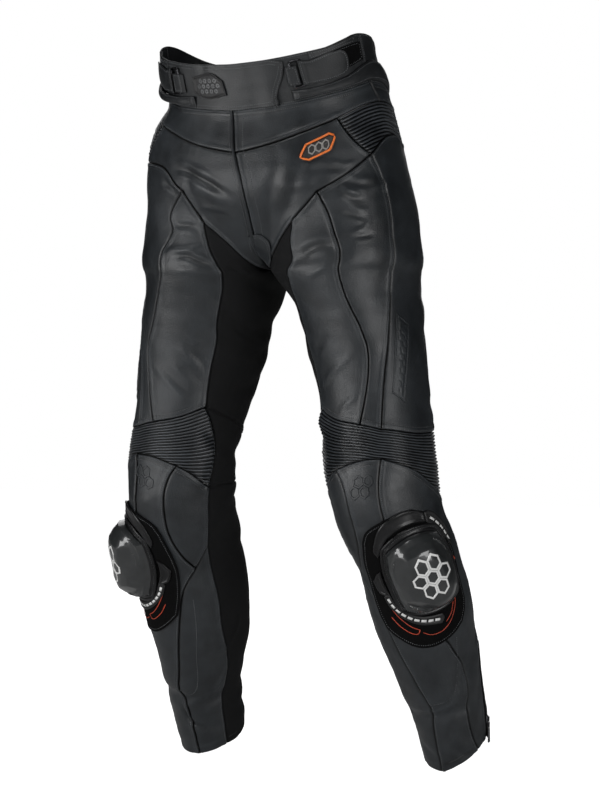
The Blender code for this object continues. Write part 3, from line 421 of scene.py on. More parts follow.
def seamTable(side):
    # Each seam: its share of a panel's side, and its points (around, drop).
    crotchDrop = cut["crotchDrop"]
    hem = hemDrops[side]
    fly = np.array(flyLine) * [side, 1]
    if side > 0:
        groin = ((0.085, 0.196), (0.13, 0.174), (0.165, 0.148), (0.19, 0.13), (0.212, 0.113),
                 (0.28, 0.094))
        inner = ((0.185, 0.172), (0.205, 0.198), (0.19, 0.222), (0.16, 0.245))
        front = ((0.258, 0.14), (0.3, 0.175), (0.312, 0.2), (0.307, 0.25), (0.315, 0.3))
    else:
        groin = ((0.07, 0.18), (0.102, 0.166), (0.135, 0.148), (0.143, 0.128), (0.153, 0.106),
                 (0.23, 0.074))
        inner = ((0.149, 0.158), (0.164, 0.182), (0.158, 0.21), (0.14, 0.239))
        front = ((0.231, 0.135), (0.243, 0.158), (0.286, 0.19), (0.296, 0.235), (0.304, 0.29))
    return {
        "flyUpper": (2, *fly[:2]),
        "flyLower": (8, *fly[1:]),
        "waistFront": (12, fly[0], (0.1, -0.004), (0.2, -0.008), (0.3, -0.012),
            (0.465, -0.018)),
        "yokeFront": (9, fly[1], (0.1, 0.044), (0.19, 0.031), (0.28, 0.02)),
        "yokeSide": (3, (0.28, 0.02), (0.38, 0.009), (0.483, 0.005)),
        "yokeSideSeam": (2, (0.465, -0.018), (0.483, 0.005)),
        "yokeCorner": (1, (0.483, 0.005), (0.62, 0.004)),
        "waistBack": (9, (0.465, -0.018), (0.7, -0.018), (1, -0.014)),
        "yokeBack": (8, (0.62, 0.004), (0.8, 0.02), (1, 0.042)),
        "hipFront": (2, (0.28, 0.02), (0.31, 0.04), (0.345, 0.057), (0.385, 0.069)),
        "hipBack": (2, (0.62, 0.004), (0.635, 0.046)),
        "hipLow": (4, (0.385, 0.069), (0.46, 0.05), (0.55, 0.042), (0.635, 0.046)),
        "groinInner": (4, (0, crotchDrop), (0.04, 0.205), *groin[:3]),
        "groinMiddle": (3, *groin[2:5]),
        "groinOuter": (2, *groin[4:], (0.385, 0.069)),
        "thighInner": (8, groin[2], *inner, (0.138, 0.27), (0.125, 0.3), (0.123, 0.34),
            (0.118, 0.394)),
        "thighFront": (8, groin[4], *front, (0.32, 0.33), (0.312, 0.36), (0.295, 0.39),
            (0.268, 0.426)),
        "thighOuter": (8, (0.385, 0.069), (0.42, 0.103), (0.435, 0.14), (0.44, 0.2),
            (0.428, 0.24), (0.405, 0.28), (0.385, 0.32), (0.362, 0.36),
            (0.343, 0.4), (0.33, 0.435)),
        "backUpper": (4, (0.635, 0.046), (0.65, 0.15), (0.66, 0.25)),
        "backLower": (4, (0.66, 0.25), (0.63, 0.34), (0.575, 0.436)),
        "seatCentre": (6, (1, 0.042), (1, 0.12), (1, crotchDrop)),
        "seatLow": (4, (0.66, 0.25), (0.75, 0.262), (0.84, 0.24)),
        "seatGroin": (4, (0.84, 0.24), (0.89, 0.226), (0.945, 0.2175), (1, crotchDrop)),
        "hamSeam": (4, (0.84, 0.24), (0.865, 0.29), (0.885, 0.35), (0.9, 0.425)),
        "kneeTopInner": (3, (0.118, 0.394), (0.19, 0.413), (0.268, 0.426)),
        "kneeTopMiddle": (2, (0.268, 0.426), (0.33, 0.435)),
        "kneeTopOuter": (4, (0.33, 0.435), (0.45, 0.442), (0.575, 0.436)),
        "kneeTopBack": (4, (0.575, 0.436), (0.74, 0.432), (0.9, 0.425)),
        "kneeTopInseam": (4, (0.9, 0.425), (1.0, 0.407), (1.118, 0.394)),
        "kneeEdgeInner": (3, (0.118, 0.394), (0.09, 0.415), (0.068, 0.44), (0.066, 0.47),
            (0.075, 0.5)),
        "kneeEdgeOuter": (3, (0.575, 0.436), (0.585, 0.49), (0.585, 0.54)),
        "kneeLowInner": (3, (0.075, 0.5), (0.14, 0.484), (0.185, 0.477)),
        "kneeLowMiddle": (2, (0.185, 0.477), (0.26, 0.471), (0.325, 0.471)),
        "kneeLowOuter": (4, (0.325, 0.471), (0.41, 0.483), (0.465, 0.497), (0.585, 0.54)),
        "kneeLowBack": (8, (0.585, 0.54), (0.7, 0.525), (0.85, 0.505), (1.0, 0.497),
            (1.075, 0.5)),
        "kneePiping": (4, (0.075, 0.5), (0.078, 0.53), (0.09, 0.565)),
        "kneeCup": (4, (0.185, 0.477), (0.205, 0.49), (0.217, 0.51), (0.213, 0.54),
            (0.185, 0.565), (0.138, 0.597)),
        "calfFork": (3, (0.09, 0.565), (0.138, 0.597)),
        "kneeOuter": (6, (0.325, 0.471), (0.31, 0.5), (0.312, 0.53), (0.33, 0.58),
            (0.36, 0.65), (0.393, 0.7)),
        "shinOuter": (7, (0.393, 0.7), (0.41, 0.72), (0.435, 0.745), (0.442, 0.775),
            (0.42, 0.805), (0.41, 0.825), (0.42, 0.85), (0.44, hem[3])),
        "shinInner": (9, (0.138, 0.597), (0.195, 0.635), (0.218, 0.67), (0.237, 0.715),
            (0.25, 0.76), (0.266, 0.79), (0.252, 0.81), (0.24, 0.84),
            (0.24, hem[1])),
        "calfPiping": (9, (0.09, 0.565), (0.086, 0.61), (0.083, 0.66), (0.085, 0.695),
            (0.068, 0.73), (0.057, 0.757), (0.068, 0.785), (0.085, 0.81),
            (0.087, 0.84), (0.087, hem[0])),
        "calfBack": (6, (0.585, 0.54), (0.6, 0.6), (0.6, 0.66), (0.575, 0.73)),
        "zipTopOuter": (1, (0.575, 0.73), (0.559, 0.737)),
        "zipTopInner": (1, (0.575, 0.73), (0.591, 0.737)),
        "zipOuter": (6, (0.559, 0.737), (0.528, 0.8), (0.503, hem[4])),
        "zipInner": (6, (0.591, 0.737), (0.56, 0.8), (0.537, hem[5])),
        "hemInner": (3, (0.087, hem[0]), (0.24, hem[1])),
        "hemFront": (4, (0.24, hem[1]), (0.33, hem[2]), (0.44, hem[3])),
        "hemOuter": (2, (0.44, hem[3]), (0.503, hem[4])),
        "hemZip": (2, (0.503, hem[4]), (0.537, hem[5])),
        "hemBack": (8, (0.537, hem[5]), (0.7, hem[6]), (0.85, hem[7]), (1.0, hem[8]),
            (1.087, hem[0])),
    }


def curveThrough(points, count):
    # count + 1 evenly spaced places on a smooth curve through the points (around, drop).
    knots = np.array(points, float)
    if len(knots) == 2:
        fine = np.linspace(knots[0], knots[1], 60)
    else:
        ends = [2 * knots[0] - knots[1], *knots, 2 * knots[-1] - knots[-2]]
        pieces = []
        for p0, p1, p2, p3 in zip(ends, ends[1:], ends[2:], ends[3:]):
            u = np.linspace(0, 1, 24, endpoint=False)[:, None]
            pieces.append(0.5 * (2 * p1 + (p2 - p0) * u + (2 * p0 - 5 * p1 + 4 * p2 - p3) * u**2
                                 + (3 * p1 - p0 - 3 * p2 + p3) * u**3))
        fine = np.vstack([*pieces, knots[-1:]])
    length = alongRun(onForm(fine))
    wanted = np.linspace(0, length[-1], count + 1)
    return np.stack([np.interp(wanted, length, fine[:, i]) for i in (0, 1)], -1)


def chain(seams, names):
    # Places (around, drop) along a run of seams, eight to each share. A name may start with -
    # where the run goes against the seam, and end in + or = to pass one turn up or down.
    run = []
    for name in names.split():
        turns = {"+": 1, "=": -1}.get(name[-1], 0)
        count, *points = seams[name.strip("-+=")]
        places = curveThrough(points, 8 * count) + np.array([turns, 0])
        places = places[::-1] if name[0] == "-" else places
        run.extend(places if not run else places[1:])
    return np.array(run)


def acrossBack(run):
    # A run of the left half carried on over the centre back to the same place on the right.
    other = run[::-1][1:] * np.array([-1, 1]) + np.array([2, 0])
    return np.vstack([run, other])


def blendSides(top, right, bottom, left, across, down):
    # Coons patch between four runs, at these fractions across and down
    u, v = across[None, :, None], down[:, None, None]
    ruled1 = top[None] * (1 - v) + bottom[None] * v
    ruled2 = left[:, None] * (1 - u) + right[:, None] * u
    corners = (top[0] * (1 - u) * (1 - v) + top[-1] * u * (1 - v)
               + bottom[0] * (1 - u) * v + bottom[-1] * u * v)
    return ruled1 + ruled2 - corners


def spreadAlong(run, fractions):
    at = np.asarray(fractions) * (len(run) - 1)
    index = np.arange(len(run))
    return np.stack([np.interp(at, index, run[:, i]) for i in range(run.shape[1])], -1)


def planBetween(top, right, bottom, left, across, down):
    return blendSides(spreadAlong(top, across), spreadAlong(right, down),
                      spreadAlong(bottom, across), spreadAlong(left, down), across, down)


def lengthOf(points):
    return float(np.linalg.norm(np.diff(points, axis=0), axis=1).sum())


def newMaterial(name, colour, roughness, metallic=0.0):
    made = bpy.data.materials.new(name)
    made.use_nodes = True
    shader = made.node_tree.nodes["Principled BSDF"]
    shader.inputs["Base Color"].default_value = (*colour, 1)
    shader.inputs["Roughness"].default_value = roughness
    shader.inputs["Metallic"].default_value = metallic
    return made, made.node_tree, shader


def placed(tree, kind, **values):
    node = tree.nodes.new(kind)
    for key, value in values.items():
        setattr(node, key, value)
    return node


def setInputs(node, **values):
    for key, value in values.items():
        node.inputs[key.replace("_", " ")].default_value = value
    return node


def wire(tree, source, target):
    tree.links.new(source, target)


def paintedShadeColour(tree, colour):
    # painted shade and painted highlight: the colour is scaled by one plus the value the mesh carries
    # at each point, but never below 0.08 of it. The value is low in seams, fold valleys and rib
    # grooves (painted shade), high along lapped edges and rib crests (painted highlight), and high on
    # fold ridges (partly wear, partly painted highlight).
    toneShift = placed(tree, "ShaderNodeAttribute", attribute_name="toneShift")
    tone = placed(tree, "ShaderNodeMath", operation="ADD")
    tone.inputs[1].default_value = 1.0
    wire(tree, toneShift.outputs["Fac"], tone.inputs[0])
    floor = placed(tree, "ShaderNodeMath", operation="MAXIMUM")
    floor.inputs[1].default_value = 0.08
    wire(tree, tone.outputs[0], floor.inputs[0])
    both = placed(tree, "ShaderNodeVectorMath", operation="SCALE")
    wire(tree, colour, both.inputs[0])
    wire(tree, floor.outputs[0], both.inputs["Scale"])
    return both.outputs[0]


def startGroup(name, given, results):
    # an empty node group with these inputs and outputs
    tree = bpy.data.node_groups.new(name, "ShaderNodeTree")
    for socket, value in given.items():
        kind = "NodeSocketFloat" if isinstance(value, float) else "NodeSocketColor"
        made = tree.interface.new_socket(socket, in_out="INPUT", socket_type=kind)
        made.default_value = value
    for socket in results:
        kind = "NodeSocketColor" if socket == "Color" else "NodeSocketFloat"
        tree.interface.new_socket(socket, in_out="OUTPUT", socket_type=kind)
    return tree, placed(tree, "NodeGroupInput"), placed(tree, "NodeGroupOutput")


def onObject(tree, *textures):
    where = placed(tree, "ShaderNodeTexCoord")
    for texture in textures:
        wire(tree, where.outputs["Object"], texture.inputs["Vector"])


def mixed(tree, kind, factor, low, high):
    mix = placed(tree, "ShaderNodeMix", data_type=kind)
    wire(tree, factor, mix.inputs["Factor"])
    wire(tree, low, mix.inputs["A"])
    wire(tree, high, mix.inputs["B"])
    return mix.outputs["Result"]


leatherSizes = {"pebble": 620.0, "cloud": 9.0, "streak": 34.0, "pores": 1500.0}


def makeLeatherGroup():
    # grain of full-grain cowhide: fine pebbles, pores, and slow changes of shade and gloss
    tree, given, result = startGroup("leatherGrain", {
        "Dark": (0.012, 0.013, 0.014, 1), "Light": (0.03, 0.031, 0.033, 1),
        "Smooth": 0.36, "Rough": 0.52, "Pebble": leatherSizes["pebble"],
    }, ("Color", "Roughness", "Height"))
    cloud = setInputs(placed(tree, "ShaderNodeTexNoise"), Scale=leatherSizes["cloud"],
                      Detail=5.0, Roughness=0.6)
    streak = setInputs(placed(tree, "ShaderNodeTexNoise"), Scale=leatherSizes["streak"],
                       Detail=3.0, Roughness=0.55)
    pebble = placed(tree, "ShaderNodeTexVoronoi", feature="SMOOTH_F1")
    pores = setInputs(placed(tree, "ShaderNodeTexNoise"), Scale=leatherSizes["pores"], Detail=2.0)
    onObject(tree, cloud, streak, pebble, pores)
    wire(tree, given.outputs["Pebble"], pebble.inputs["Scale"])
    blend = placed(tree, "ShaderNodeMath", operation="ADD")
    wire(tree, cloud.outputs["Fac"], blend.inputs[0])
    wire(tree, streak.outputs["Fac"], blend.inputs[1])
    spread = setInputs(placed(tree, "ShaderNodeMapRange"), From_Min=0.72, From_Max=1.3)
    wire(tree, blend.outputs[0], spread.inputs["Value"])
    shade = mixed(tree, "RGBA", spread.outputs[0], given.outputs["Dark"], given.outputs["Light"])
    # the colour takes the mesh's painted shade and painted highlight here
    wire(tree, paintedShadeColour(tree, shade), result.inputs["Color"])
    gloss = setInputs(placed(tree, "ShaderNodeMapRange"), From_Min=0.35, From_Max=0.65)
    wire(tree, cloud.outputs["Fac"], gloss.inputs["Value"])
    wire(tree, given.outputs["Smooth"], gloss.inputs["To Min"])
    wire(tree, given.outputs["Rough"], gloss.inputs["To Max"])
    wire(tree, gloss.outputs[0], result.inputs["Roughness"])
    grain = placed(tree, "ShaderNodeMath", operation="MULTIPLY_ADD")
    grain.inputs[1].default_value = 0.35
    wire(tree, pores.outputs["Fac"], grain.inputs[0])
    wire(tree, pebble.outputs["Distance"], grain.inputs[2])
    wire(tree, grain.outputs[0], result.inputs["Height"])
    return tree


def makeClothGroup():
    # stretch cloth: fine cross ribs with fuzz
    tree, given, result = startGroup("stretchWeave", {
        "Dark": (0.004, 0.004, 0.0045, 1), "Light": (0.013, 0.013, 0.014, 1), "Threads": 520.0,
    }, ("Color", "Height"))
    rows = placed(tree, "ShaderNodeTexWave", wave_type="BANDS", bands_direction="Z")
    cross = placed(tree, "ShaderNodeTexWave", wave_type="BANDS", bands_direction="DIAGONAL")
    fuzz = setInputs(placed(tree, "ShaderNodeTexNoise"), Scale=1800.0, Detail=2.0)
    onObject(tree, rows, cross, fuzz)
    for node in (rows, cross):
        wire(tree, given.outputs["Threads"], node.inputs["Scale"])
        setInputs(node, Distortion=0.6, Detail=1.0)
    both = placed(tree, "ShaderNodeMath", operation="MULTIPLY")
    wire(tree, rows.outputs["Fac"], both.inputs[0])
    wire(tree, cross.outputs["Fac"], both.inputs[1])
    fuzzed = placed(tree, "ShaderNodeMath", operation="MULTIPLY_ADD")
    fuzzed.inputs[1].default_value = 0.5
    wire(tree, fuzz.outputs["Fac"], fuzzed.inputs[0])
    wire(tree, both.outputs[0], fuzzed.inputs[2])
    shade = mixed(tree, "RGBA", fuzzed.outputs[0], given.outputs["Dark"], given.outputs["Light"])
    wire(tree, shade, result.inputs["Color"])
    wire(tree, fuzzed.outputs[0], result.inputs["Height"])
    return tree


leatherGrain, stretchWeave = makeLeatherGroup(), makeClothGroup()


def withGroup(name, group, colour, roughness, bumpDepth, coat=0.0, sheen=0.0, **values):
    made, tree, shader = newMaterial(name, colour, roughness)
    grain = placed(tree, "ShaderNodeGroup", node_tree=group)
    for key, value in values.items():
        grain.inputs[key].default_value = value
    wire(tree, grain.outputs["Color"], shader.inputs["Base Color"])
    if "Roughness" in grain.outputs:
        wire(tree, grain.outputs["Roughness"], shader.inputs["Roughness"])
    bump = setInputs(placed(tree, "ShaderNodeBump"), Strength=0.5, Distance=bumpDepth)
    wire(tree, grain.outputs["Height"], bump.inputs["Height"])
    wire(tree, bump.outputs["Normal"], shader.inputs["Normal"])
    setInputs(shader, Coat_Weight=coat, Coat_Roughness=0.35, Sheen_Weight=sheen,
              Sheen_Roughness=0.5)
    return made


leatherMaterial = withGroup("leatherCharcoal", leatherGrain, (0.02, 0.02, 0.022), 0.45, 0.00035,
                            Dark=(0.0086, 0.0104, 0.0122, 1), Light=(0.0225, 0.0262, 0.03, 1),
                            Smooth=0.38, Rough=0.54)
# the leather of the waistband, roll and waist straps: a darker, rougher copy of the charcoal leather,
# painted shade for the dimmer light round the waist
bandShadedLeather = withGroup("leatherBandShaded", leatherGrain, (0.014, 0.015, 0.017), 0.5, 0.00035,
                         Dark=(0.006, 0.007, 0.008, 1), Light=(0.015, 0.017, 0.019, 1),
                         Smooth=0.44, Rough=0.6)
ribMaterial = withGroup("leatherRibs", leatherGrain, (0.015, 0.015, 0.016), 0.4, 0.0002,
                        Dark=(0.0085, 0.0096, 0.011, 1), Light=(0.029, 0.0325, 0.0365, 1),
                        Smooth=0.27, Rough=0.38)
stretchMaterial = withGroup("stretchCloth", stretchWeave, (0.01, 0.01, 0.011), 0.85, 0.0003,
                            Dark=(0.002, 0.0021, 0.0023, 1), Light=(0.0085, 0.0088, 0.0095, 1))
pileMaterial = withGroup("loopPile", stretchWeave, (0.008, 0.008, 0.008), 0.95, 0.0008,
                         Dark=(0.0008, 0.0008, 0.0008, 1), Light=(0.0045, 0.0045, 0.0048, 1),
                         Threads=300.0)


def makeMouldedGroup():
    # plastic, rubber, metal and print: slow changes of shade and gloss with a fine tooth
    tree, given, result = startGroup("mouldedFinish", {
        "Base": (0.02, 0.02, 0.02, 1), "Worn": (0.04, 0.04, 0.04, 1),
        "Smooth": 0.2, "Rough": 0.4,
    }, ("Color", "Roughness", "Height"))
    cloud = setInputs(placed(tree, "ShaderNodeTexNoise"), Scale=60.0, Detail=4.0)
    tooth = setInputs(placed(tree, "ShaderNodeTexNoise"), Scale=1400.0, Detail=2.0)
    onObject(tree, cloud, tooth)
    spread = setInputs(placed(tree, "ShaderNodeMapRange"), From_Min=0.35, From_Max=0.7)
    wire(tree, cloud.outputs["Fac"], spread.inputs["Value"])
    shade = mixed(tree, "RGBA", spread.outputs[0], given.outputs["Base"], given.outputs["Worn"])
    gloss = mixed(tree, "FLOAT", spread.outputs[0], given.outputs["Smooth"], given.outputs["Rough"])
    wire(tree, shade, result.inputs["Color"])
    wire(tree, gloss, result.inputs["Roughness"])
    wire(tree, tooth.outputs["Fac"], result.inputs["Height"])
    return tree


mouldedFinish = makeMouldedGroup()


def moulded(name, base, toneShift, smooth, rough, bumpDepth=0.0001, metallic=0.0, coat=0.0):
    made = withGroup(name, mouldedFinish, base, rough, bumpDepth, coat=coat, Base=(*base, 1),
                     Worn=(*toneShift, 1), Smooth=smooth, Rough=rough)
    made.node_tree.nodes["Principled BSDF"].inputs["Metallic"].default_value = metallic
    return made


threadMaterial = moulded("thread", (0.08, 0.085, 0.09), (0.13, 0.136, 0.142), 0.42, 0.58)
badgeMaterial = moulded("badgeRubber", (0.004, 0.004, 0.004), (0.008, 0.008, 0.009), 0.5, 0.65)
# a lighter copy of the badge rubber for the badge's raised cells: painted highlight on the relief
badgeCellHighlight = moulded("raisedRubberHighlight", (0.034, 0.036, 0.038), (0.058, 0.06, 0.063), 0.3, 0.45)
emblemMaterial = moulded("emblemRubber", (0.02, 0.019, 0.018), (0.034, 0.032, 0.03), 0.4, 0.6)
paleMaterial = moulded("paleRubber", (0.3, 0.29, 0.27), (0.24, 0.23, 0.22), 0.4, 0.55)
orangeMaterial = moulded("orangeRubber", (0.86, 0.2, 0.03), (0.72, 0.15, 0.022), 0.35, 0.5)
baseMaterial = moulded("sliderPlastic", (0.0055, 0.0055, 0.006), (0.01, 0.01, 0.011), 0.26, 0.38)
puckMaterial = moulded("puckPlastic", (0.017, 0.0185, 0.0195), (0.027, 0.029, 0.03), 0.06, 0.13,
                       0.00002, coat=0.6)
whiteMaterial = moulded("whitePrint", (0.84, 0.84, 0.83), (0.74, 0.74, 0.73), 0.35, 0.5)
redMaterial = moulded("redPrint", (0.62, 0.075, 0.03), (0.5, 0.055, 0.022), 0.4, 0.55)
toothMaterial = moulded("zipTeeth", (0.01, 0.01, 0.011), (0.022, 0.022, 0.024), 0.25, 0.4)
for dull, gloss in ((stretchMaterial, 0.25), (pileMaterial, 0.12), (baseMaterial, 0.35)):
    dull.node_tree.nodes["Principled BSDF"].inputs["Specular IOR Level"].default_value = gloss
steelMaterial = moulded("darkSteel", (0.05, 0.05, 0.054), (0.09, 0.09, 0.095), 0.25, 0.4,
                        metallic=1.0)
print("materials made")


panels = (
    # name, top, right, bottom, left, cloth
    ("yoke_front", "waistFront", "yokeSideSeam", "yokeFront yokeSide", "flyUpper", "leather"),
    ("front_panel", "yokeFront", "hipFront", "groinInner groinMiddle groinOuter", "flyLower",
     "leather"),
    ("seat", "yokeBack", "seatCentre", "seatLow seatGroin", "hipBack backUpper", "leather"),
    ("thigh_inner_front", "groinMiddle", "thighFront", "kneeTopInner", "thighInner", "leather"),
    ("thigh_front", "groinOuter", "thighOuter", "kneeTopMiddle", "thighFront", "leather"),
    ("thigh_side", "hipLow", "backUpper backLower", "kneeTopOuter", "thighOuter", "leather"),
    ("thigh_back", "seatLow", "hamSeam", "kneeTopBack", "backLower", "leather"),
    ("inner_stretch", "-groinInner -seatGroin=", "hamSeam=", "-kneeTopInseam=", "thighInner",
     "stretch"),
    ("knee_back", "kneeTopBack kneeTopInseam", "kneeEdgeInner+", "kneeLowBack", "kneeEdgeOuter",
     "stretch"),
    ("knee_inner", "kneeLowInner", "kneeCup", "calfFork", "kneePiping", "leather"),
    ("shin_front", "kneeLowMiddle", "kneeOuter shinOuter", "hemFront", "kneeCup shinInner",
     "leather"),
    ("shin_inner", "calfFork", "shinInner", "hemInner", "calfPiping", "leather"),
    ("calf_outer", "kneeLowOuter", "calfBack zipTopOuter zipOuter", "hemOuter",
     "kneeOuter shinOuter", "leather"),
    ("calf_inner", "kneeLowBack", "kneePiping+ calfPiping+", "hemBack",
     "calfBack zipTopInner zipInner", "stretch"),
    ("ankle_zip", "-zipTopOuter zipTopInner", "zipInner", "hemZip", "zipOuter", "tape"),
    ("knee_accordion", "kneeTopInner kneeTopMiddle kneeTopOuter", "kneeEdgeOuter",
     "kneeLowInner kneeLowMiddle kneeLowOuter", "kneeEdgeInner", "ribs"),
    ("hip_accordion", "yokeSide yokeCorner", "hipBack", "hipLow", "hipFront", "ribs"),
)
# the seams at which each panel's edge lies on top, and so carries the stitches
onTop = {
    "yoke_front": "waistFront yokeFront yokeSide flyUpper",
    "front_panel": "flyLower hipFront groinInner",
    "seat": "hipBack seatLow seatGroin seatCentre",
    "thigh_inner_front": "groinMiddle thighInner thighFront kneeTopInner",
    "thigh_front": "groinOuter thighOuter kneeTopMiddle",
    "thigh_side": "hipLow backUpper backLower kneeTopOuter",
    "thigh_back": "hamSeam kneeTopBack",
    "knee_accordion": "kneeEdgeInner kneeEdgeOuter",
    "knee_inner": "kneeLowInner kneePiping calfFork",
    "shin_front": "kneeLowMiddle kneeCup shinOuter shinInner hemFront",
    "shin_inner": "calfPiping hemInner",
    "calf_outer": "kneeLowOuter kneeOuter calfBack zipOuter zipTopOuter hemOuter",
    "calf_inner": "zipInner zipTopInner hemBack",
}
seamLook = {
    "edgeLift": 0.0010,       # the lapped edge stands this proud
    "row": (0.0026,),         # stitch rows from the edge
    "double": (0.0026, 0.0072),
    "hem": (0.01,),
    "groove": 0.0005,
    "edgeTurn": 0.0013,       # the lapped edge rounds off by this much
    "turned": (0.0003, -0.0010),     # one more row of a lapped edge: outwards, and up
    "hidden": (0.0036, 0.0014),      # and of the panel that runs on under it
    "tuck": 0.0021,           # the other panel dips this much into the seam
    "pucker": 0.00022,
    # painted shade (below 0) and painted highlight (above 0) in each seam: how much, how far from the
    # edge, and how wide
    "edgeShadeAndHighlight": ((1.3, 0.0016, 0.0007), (-1.6, 0.0, 0.0008)),
    "rowShadeAndHighlight": ((-0.8, 0.0, 0.0009), (0.4, 0.002, 0.0012)),
    "tuckShade": ((-1.9, 0.0, 0.0018),),
}
panelLook = {
    "cell": {"front_panel": 0.004, "thigh_inner_front": 0.0038, "thigh_front": 0.0038,
             "shin_front": 0.0045, "shin_inner": 0.0045},
    "cellElsewhere": 0.006,
    "nearEdge": (0.0, 0.0006, 0.0014, 0.0026, 0.0038, 0.006, 0.0072, 0.0084, 0.0125),
    "ribHeight": {"knee": 0.0026, "hip": 0.0034},
    "ribSteps": (0.0, 0.09, 0.26, 0.5, 0.74, 0.91),
    # the ribs' pitch, and how much it grows with the panel's own length
    "ribPitch": {"knee": (0.0027, 0.02), "hip": (0.0047, 0.0)},
    "ribCell": 0.004,
}


def rowsOf(seam):
    if seam.startswith("hem"):
        return seamLook["hem"]
    return seamLook["double" if seam.startswith(("kneeTop", "kneeLow", "waist")) else "row"]


def graded(length, cell):
    # fractions of a run, close together near its ends, where the seams are
    near = [x for x in panelLook["nearEdge"] if x < 0.42 * length]
    steps = max(1, round((length - 2 * near[-1]) / cell))
    middle = np.linspace(near[-1], length - near[-1], steps + 1)
    return np.concatenate([near[:-1], middle, length - np.array(near[:-1])[::-1]]) / length


def nearest(points, line):
    # distance of each point from a line of points, and how far along the line that is
    flat = points.reshape(-1, 3)
    along = alongRun(line)
    a, b = line[:-1], line[1:]
    best, place = np.full(len(flat), 9.0), np.zeros(len(flat))
    for k in range(len(a)):
        ab = b[k] - a[k]
        share = np.clip((flat - a[k]) @ ab / max(ab @ ab, 1e-12), 0, 1)
        gap = np.linalg.norm(flat - a[k] - share[:, None] * ab, axis=1)
        closer = gap < best
        best = np.where(closer, gap, best)
        place = np.where(closer, along[k] + share * (along[k + 1] - along[k]), place)
    return best.reshape(points.shape[:-1]), place.reshape(points.shape[:-1])


def shadeAt(gap, bands):
    return sum(amount * ridge(gap, middle, width) for amount, middle, width in bands)


def edgeHeight(panel, points):
    # what the seams do to the panel's surface, and the painted shade and painted highlight they give
    # it, at these points of the smooth form
    height = np.zeros(points.shape[:-1])
    shade = np.zeros(points.shape[:-1])
    for name, line in panel["seams"].items():
        gap, place = nearest(points, line)
        ripple = np.sin(place / 0.003 + 2.1 * np.sin(place / 0.011))
        height += seamLook["pucker"] * ripple * np.exp(-gap / 0.009)
        if name in panel["over"]:
            last = rowsOf(name)[-1]
            if last < 0.009:
                height += seamLook["edgeLift"] * (1 - rise(gap, last, last + 0.005))
            height -= seamLook["edgeTurn"] * ridge(gap, 0, 0.0009)
            # a painted highlight along the lapped edge and painted shade in the seam line at its foot
            shade += shadeAt(gap, seamLook["edgeShadeAndHighlight"])
            for row in rowsOf(name):
                height -= seamLook["groove"] * ridge(gap, row, 0.0009)
                # painted shade in each stitch groove, with a painted highlight just beside it
                shade += shadeAt(gap - row, seamLook["rowShadeAndHighlight"])
        else:
            height -= seamLook["tuck"] * ridge(gap, 0, 0.0019)
            # painted shade where this panel dips into the seam under the other
            shade += shadeAt(gap, seamLook["tuckShade"])
    return height, shade


def panelSurface(panel, around, drop, lift=0.0):
    # points, outward directions and painted shade and highlight on a panel's finished outer surface
    side = panel["side"]
    over, down = slopes(around, drop)
    normals = unit(np.cross(down, over))
    base = smoothForm(around, drop, isOnLeg(drop))
    lines = lineFolds(base, side)
    height = foldHeight(around, drop, side) + undulation(base) + lift + lines
    seamHeight, shade = edgeHeight(panel, base)
    # darker in the valleys of the line folds, painted shade, and lighter on their ridges, partly wear
    # on the crests and partly painted highlight
    shade = shade + np.clip(lines * 120, -0.4, 0.25)
    points = base + normals * (height + seamHeight)[..., None]
    flip = np.array([side, 1, 1])
    return lean(points * flip), normals * flip, shade


def describePanel(row, side, mark):
    name, top, right, bottom, left, cloth = row
    seams = seamTable(side)
    panel = {"name": name + mark, "side": side, "cloth": cloth, "seams": {}, "over": set(),
             "topNames": [], "bottomNames": []}
    for run in (top, right, bottom, left):
        for word in run.split():
            seam = word.strip("-+=")
            count, *places = seams[seam]
            panel["seams"][seam] = onForm(curveThrough(places, 8 * count))
            # on the centre lines only the left half lies on top
            centred = seam == "seatCentre" or seam.startswith("fly")
            if seam in onTop.get(name, "").split() and (side > 0 or not centred):
                panel["over"].add(seam)
            if run in (top, bottom):
                panel["topNames" if run == top else "bottomNames"].append(seam)
    panel["runs"] = [chain(seams, run) for run in (top, right, bottom, left)]
    return panel


def gridMesh(name, points, normals, wall, materials, shade=None, merge=0.0):
    # a sheet whose corners lie at these points, rows by columns; Solidify gives it its wall
    rows, columns = points.shape[0] - 1, points.shape[1] - 1
    bm = bmesh.new()
    # each point keeps a value that darkens or lightens the colour: painted shade and painted
    # highlight
    toneShift = bm.verts.layers.float.new("toneShift")
    bmesh.ops.create_grid(bm, x_segments=columns, y_segments=rows, size=0.5)
    tones = np.zeros(points.shape[:2]) if shade is None else shade
    for vert, place, tone in zip(bm.verts, points.reshape(-1, 3).tolist(),
                                 tones.reshape(-1).tolist()):
        vert.co = place
        vert[toneShift] = tone
    bm.faces.ensure_lookup_table()
    middle = bm.faces[(rows // 3) * columns + columns // 2]
    middle.normal_update()
    outward = normals[rows // 3, columns // 2]
    if middle.normal.dot(Vector(outward)) < 0:
        bmesh.ops.reverse_faces(bm, faces=bm.faces[:])
    if merge:
        bmesh.ops.remove_doubles(bm, verts=bm.verts[:], dist=merge)
    return meshObject(name, bm, materials, wall)


def meshObject(name, bm, materials, wall=0.0):
    mesh = bpy.data.meshes.new(name)
    bm.to_mesh(mesh)
    bm.free()
    mesh.shade_smooth()
    piece = bpy.data.objects.new(name, mesh)
    for one in materials:
        mesh.materials.append(one)
    bpy.context.scene.collection.objects.link(piece)
    if wall:
        solid = piece.modifiers.new("wall", "SOLIDIFY")
        solid.thickness = wall
        solid.offset = -1.0
    return piece


def dress(piece, node=None, body="trousers"):
    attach(piece, body)
    if node:
        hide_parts(node)
    return piece


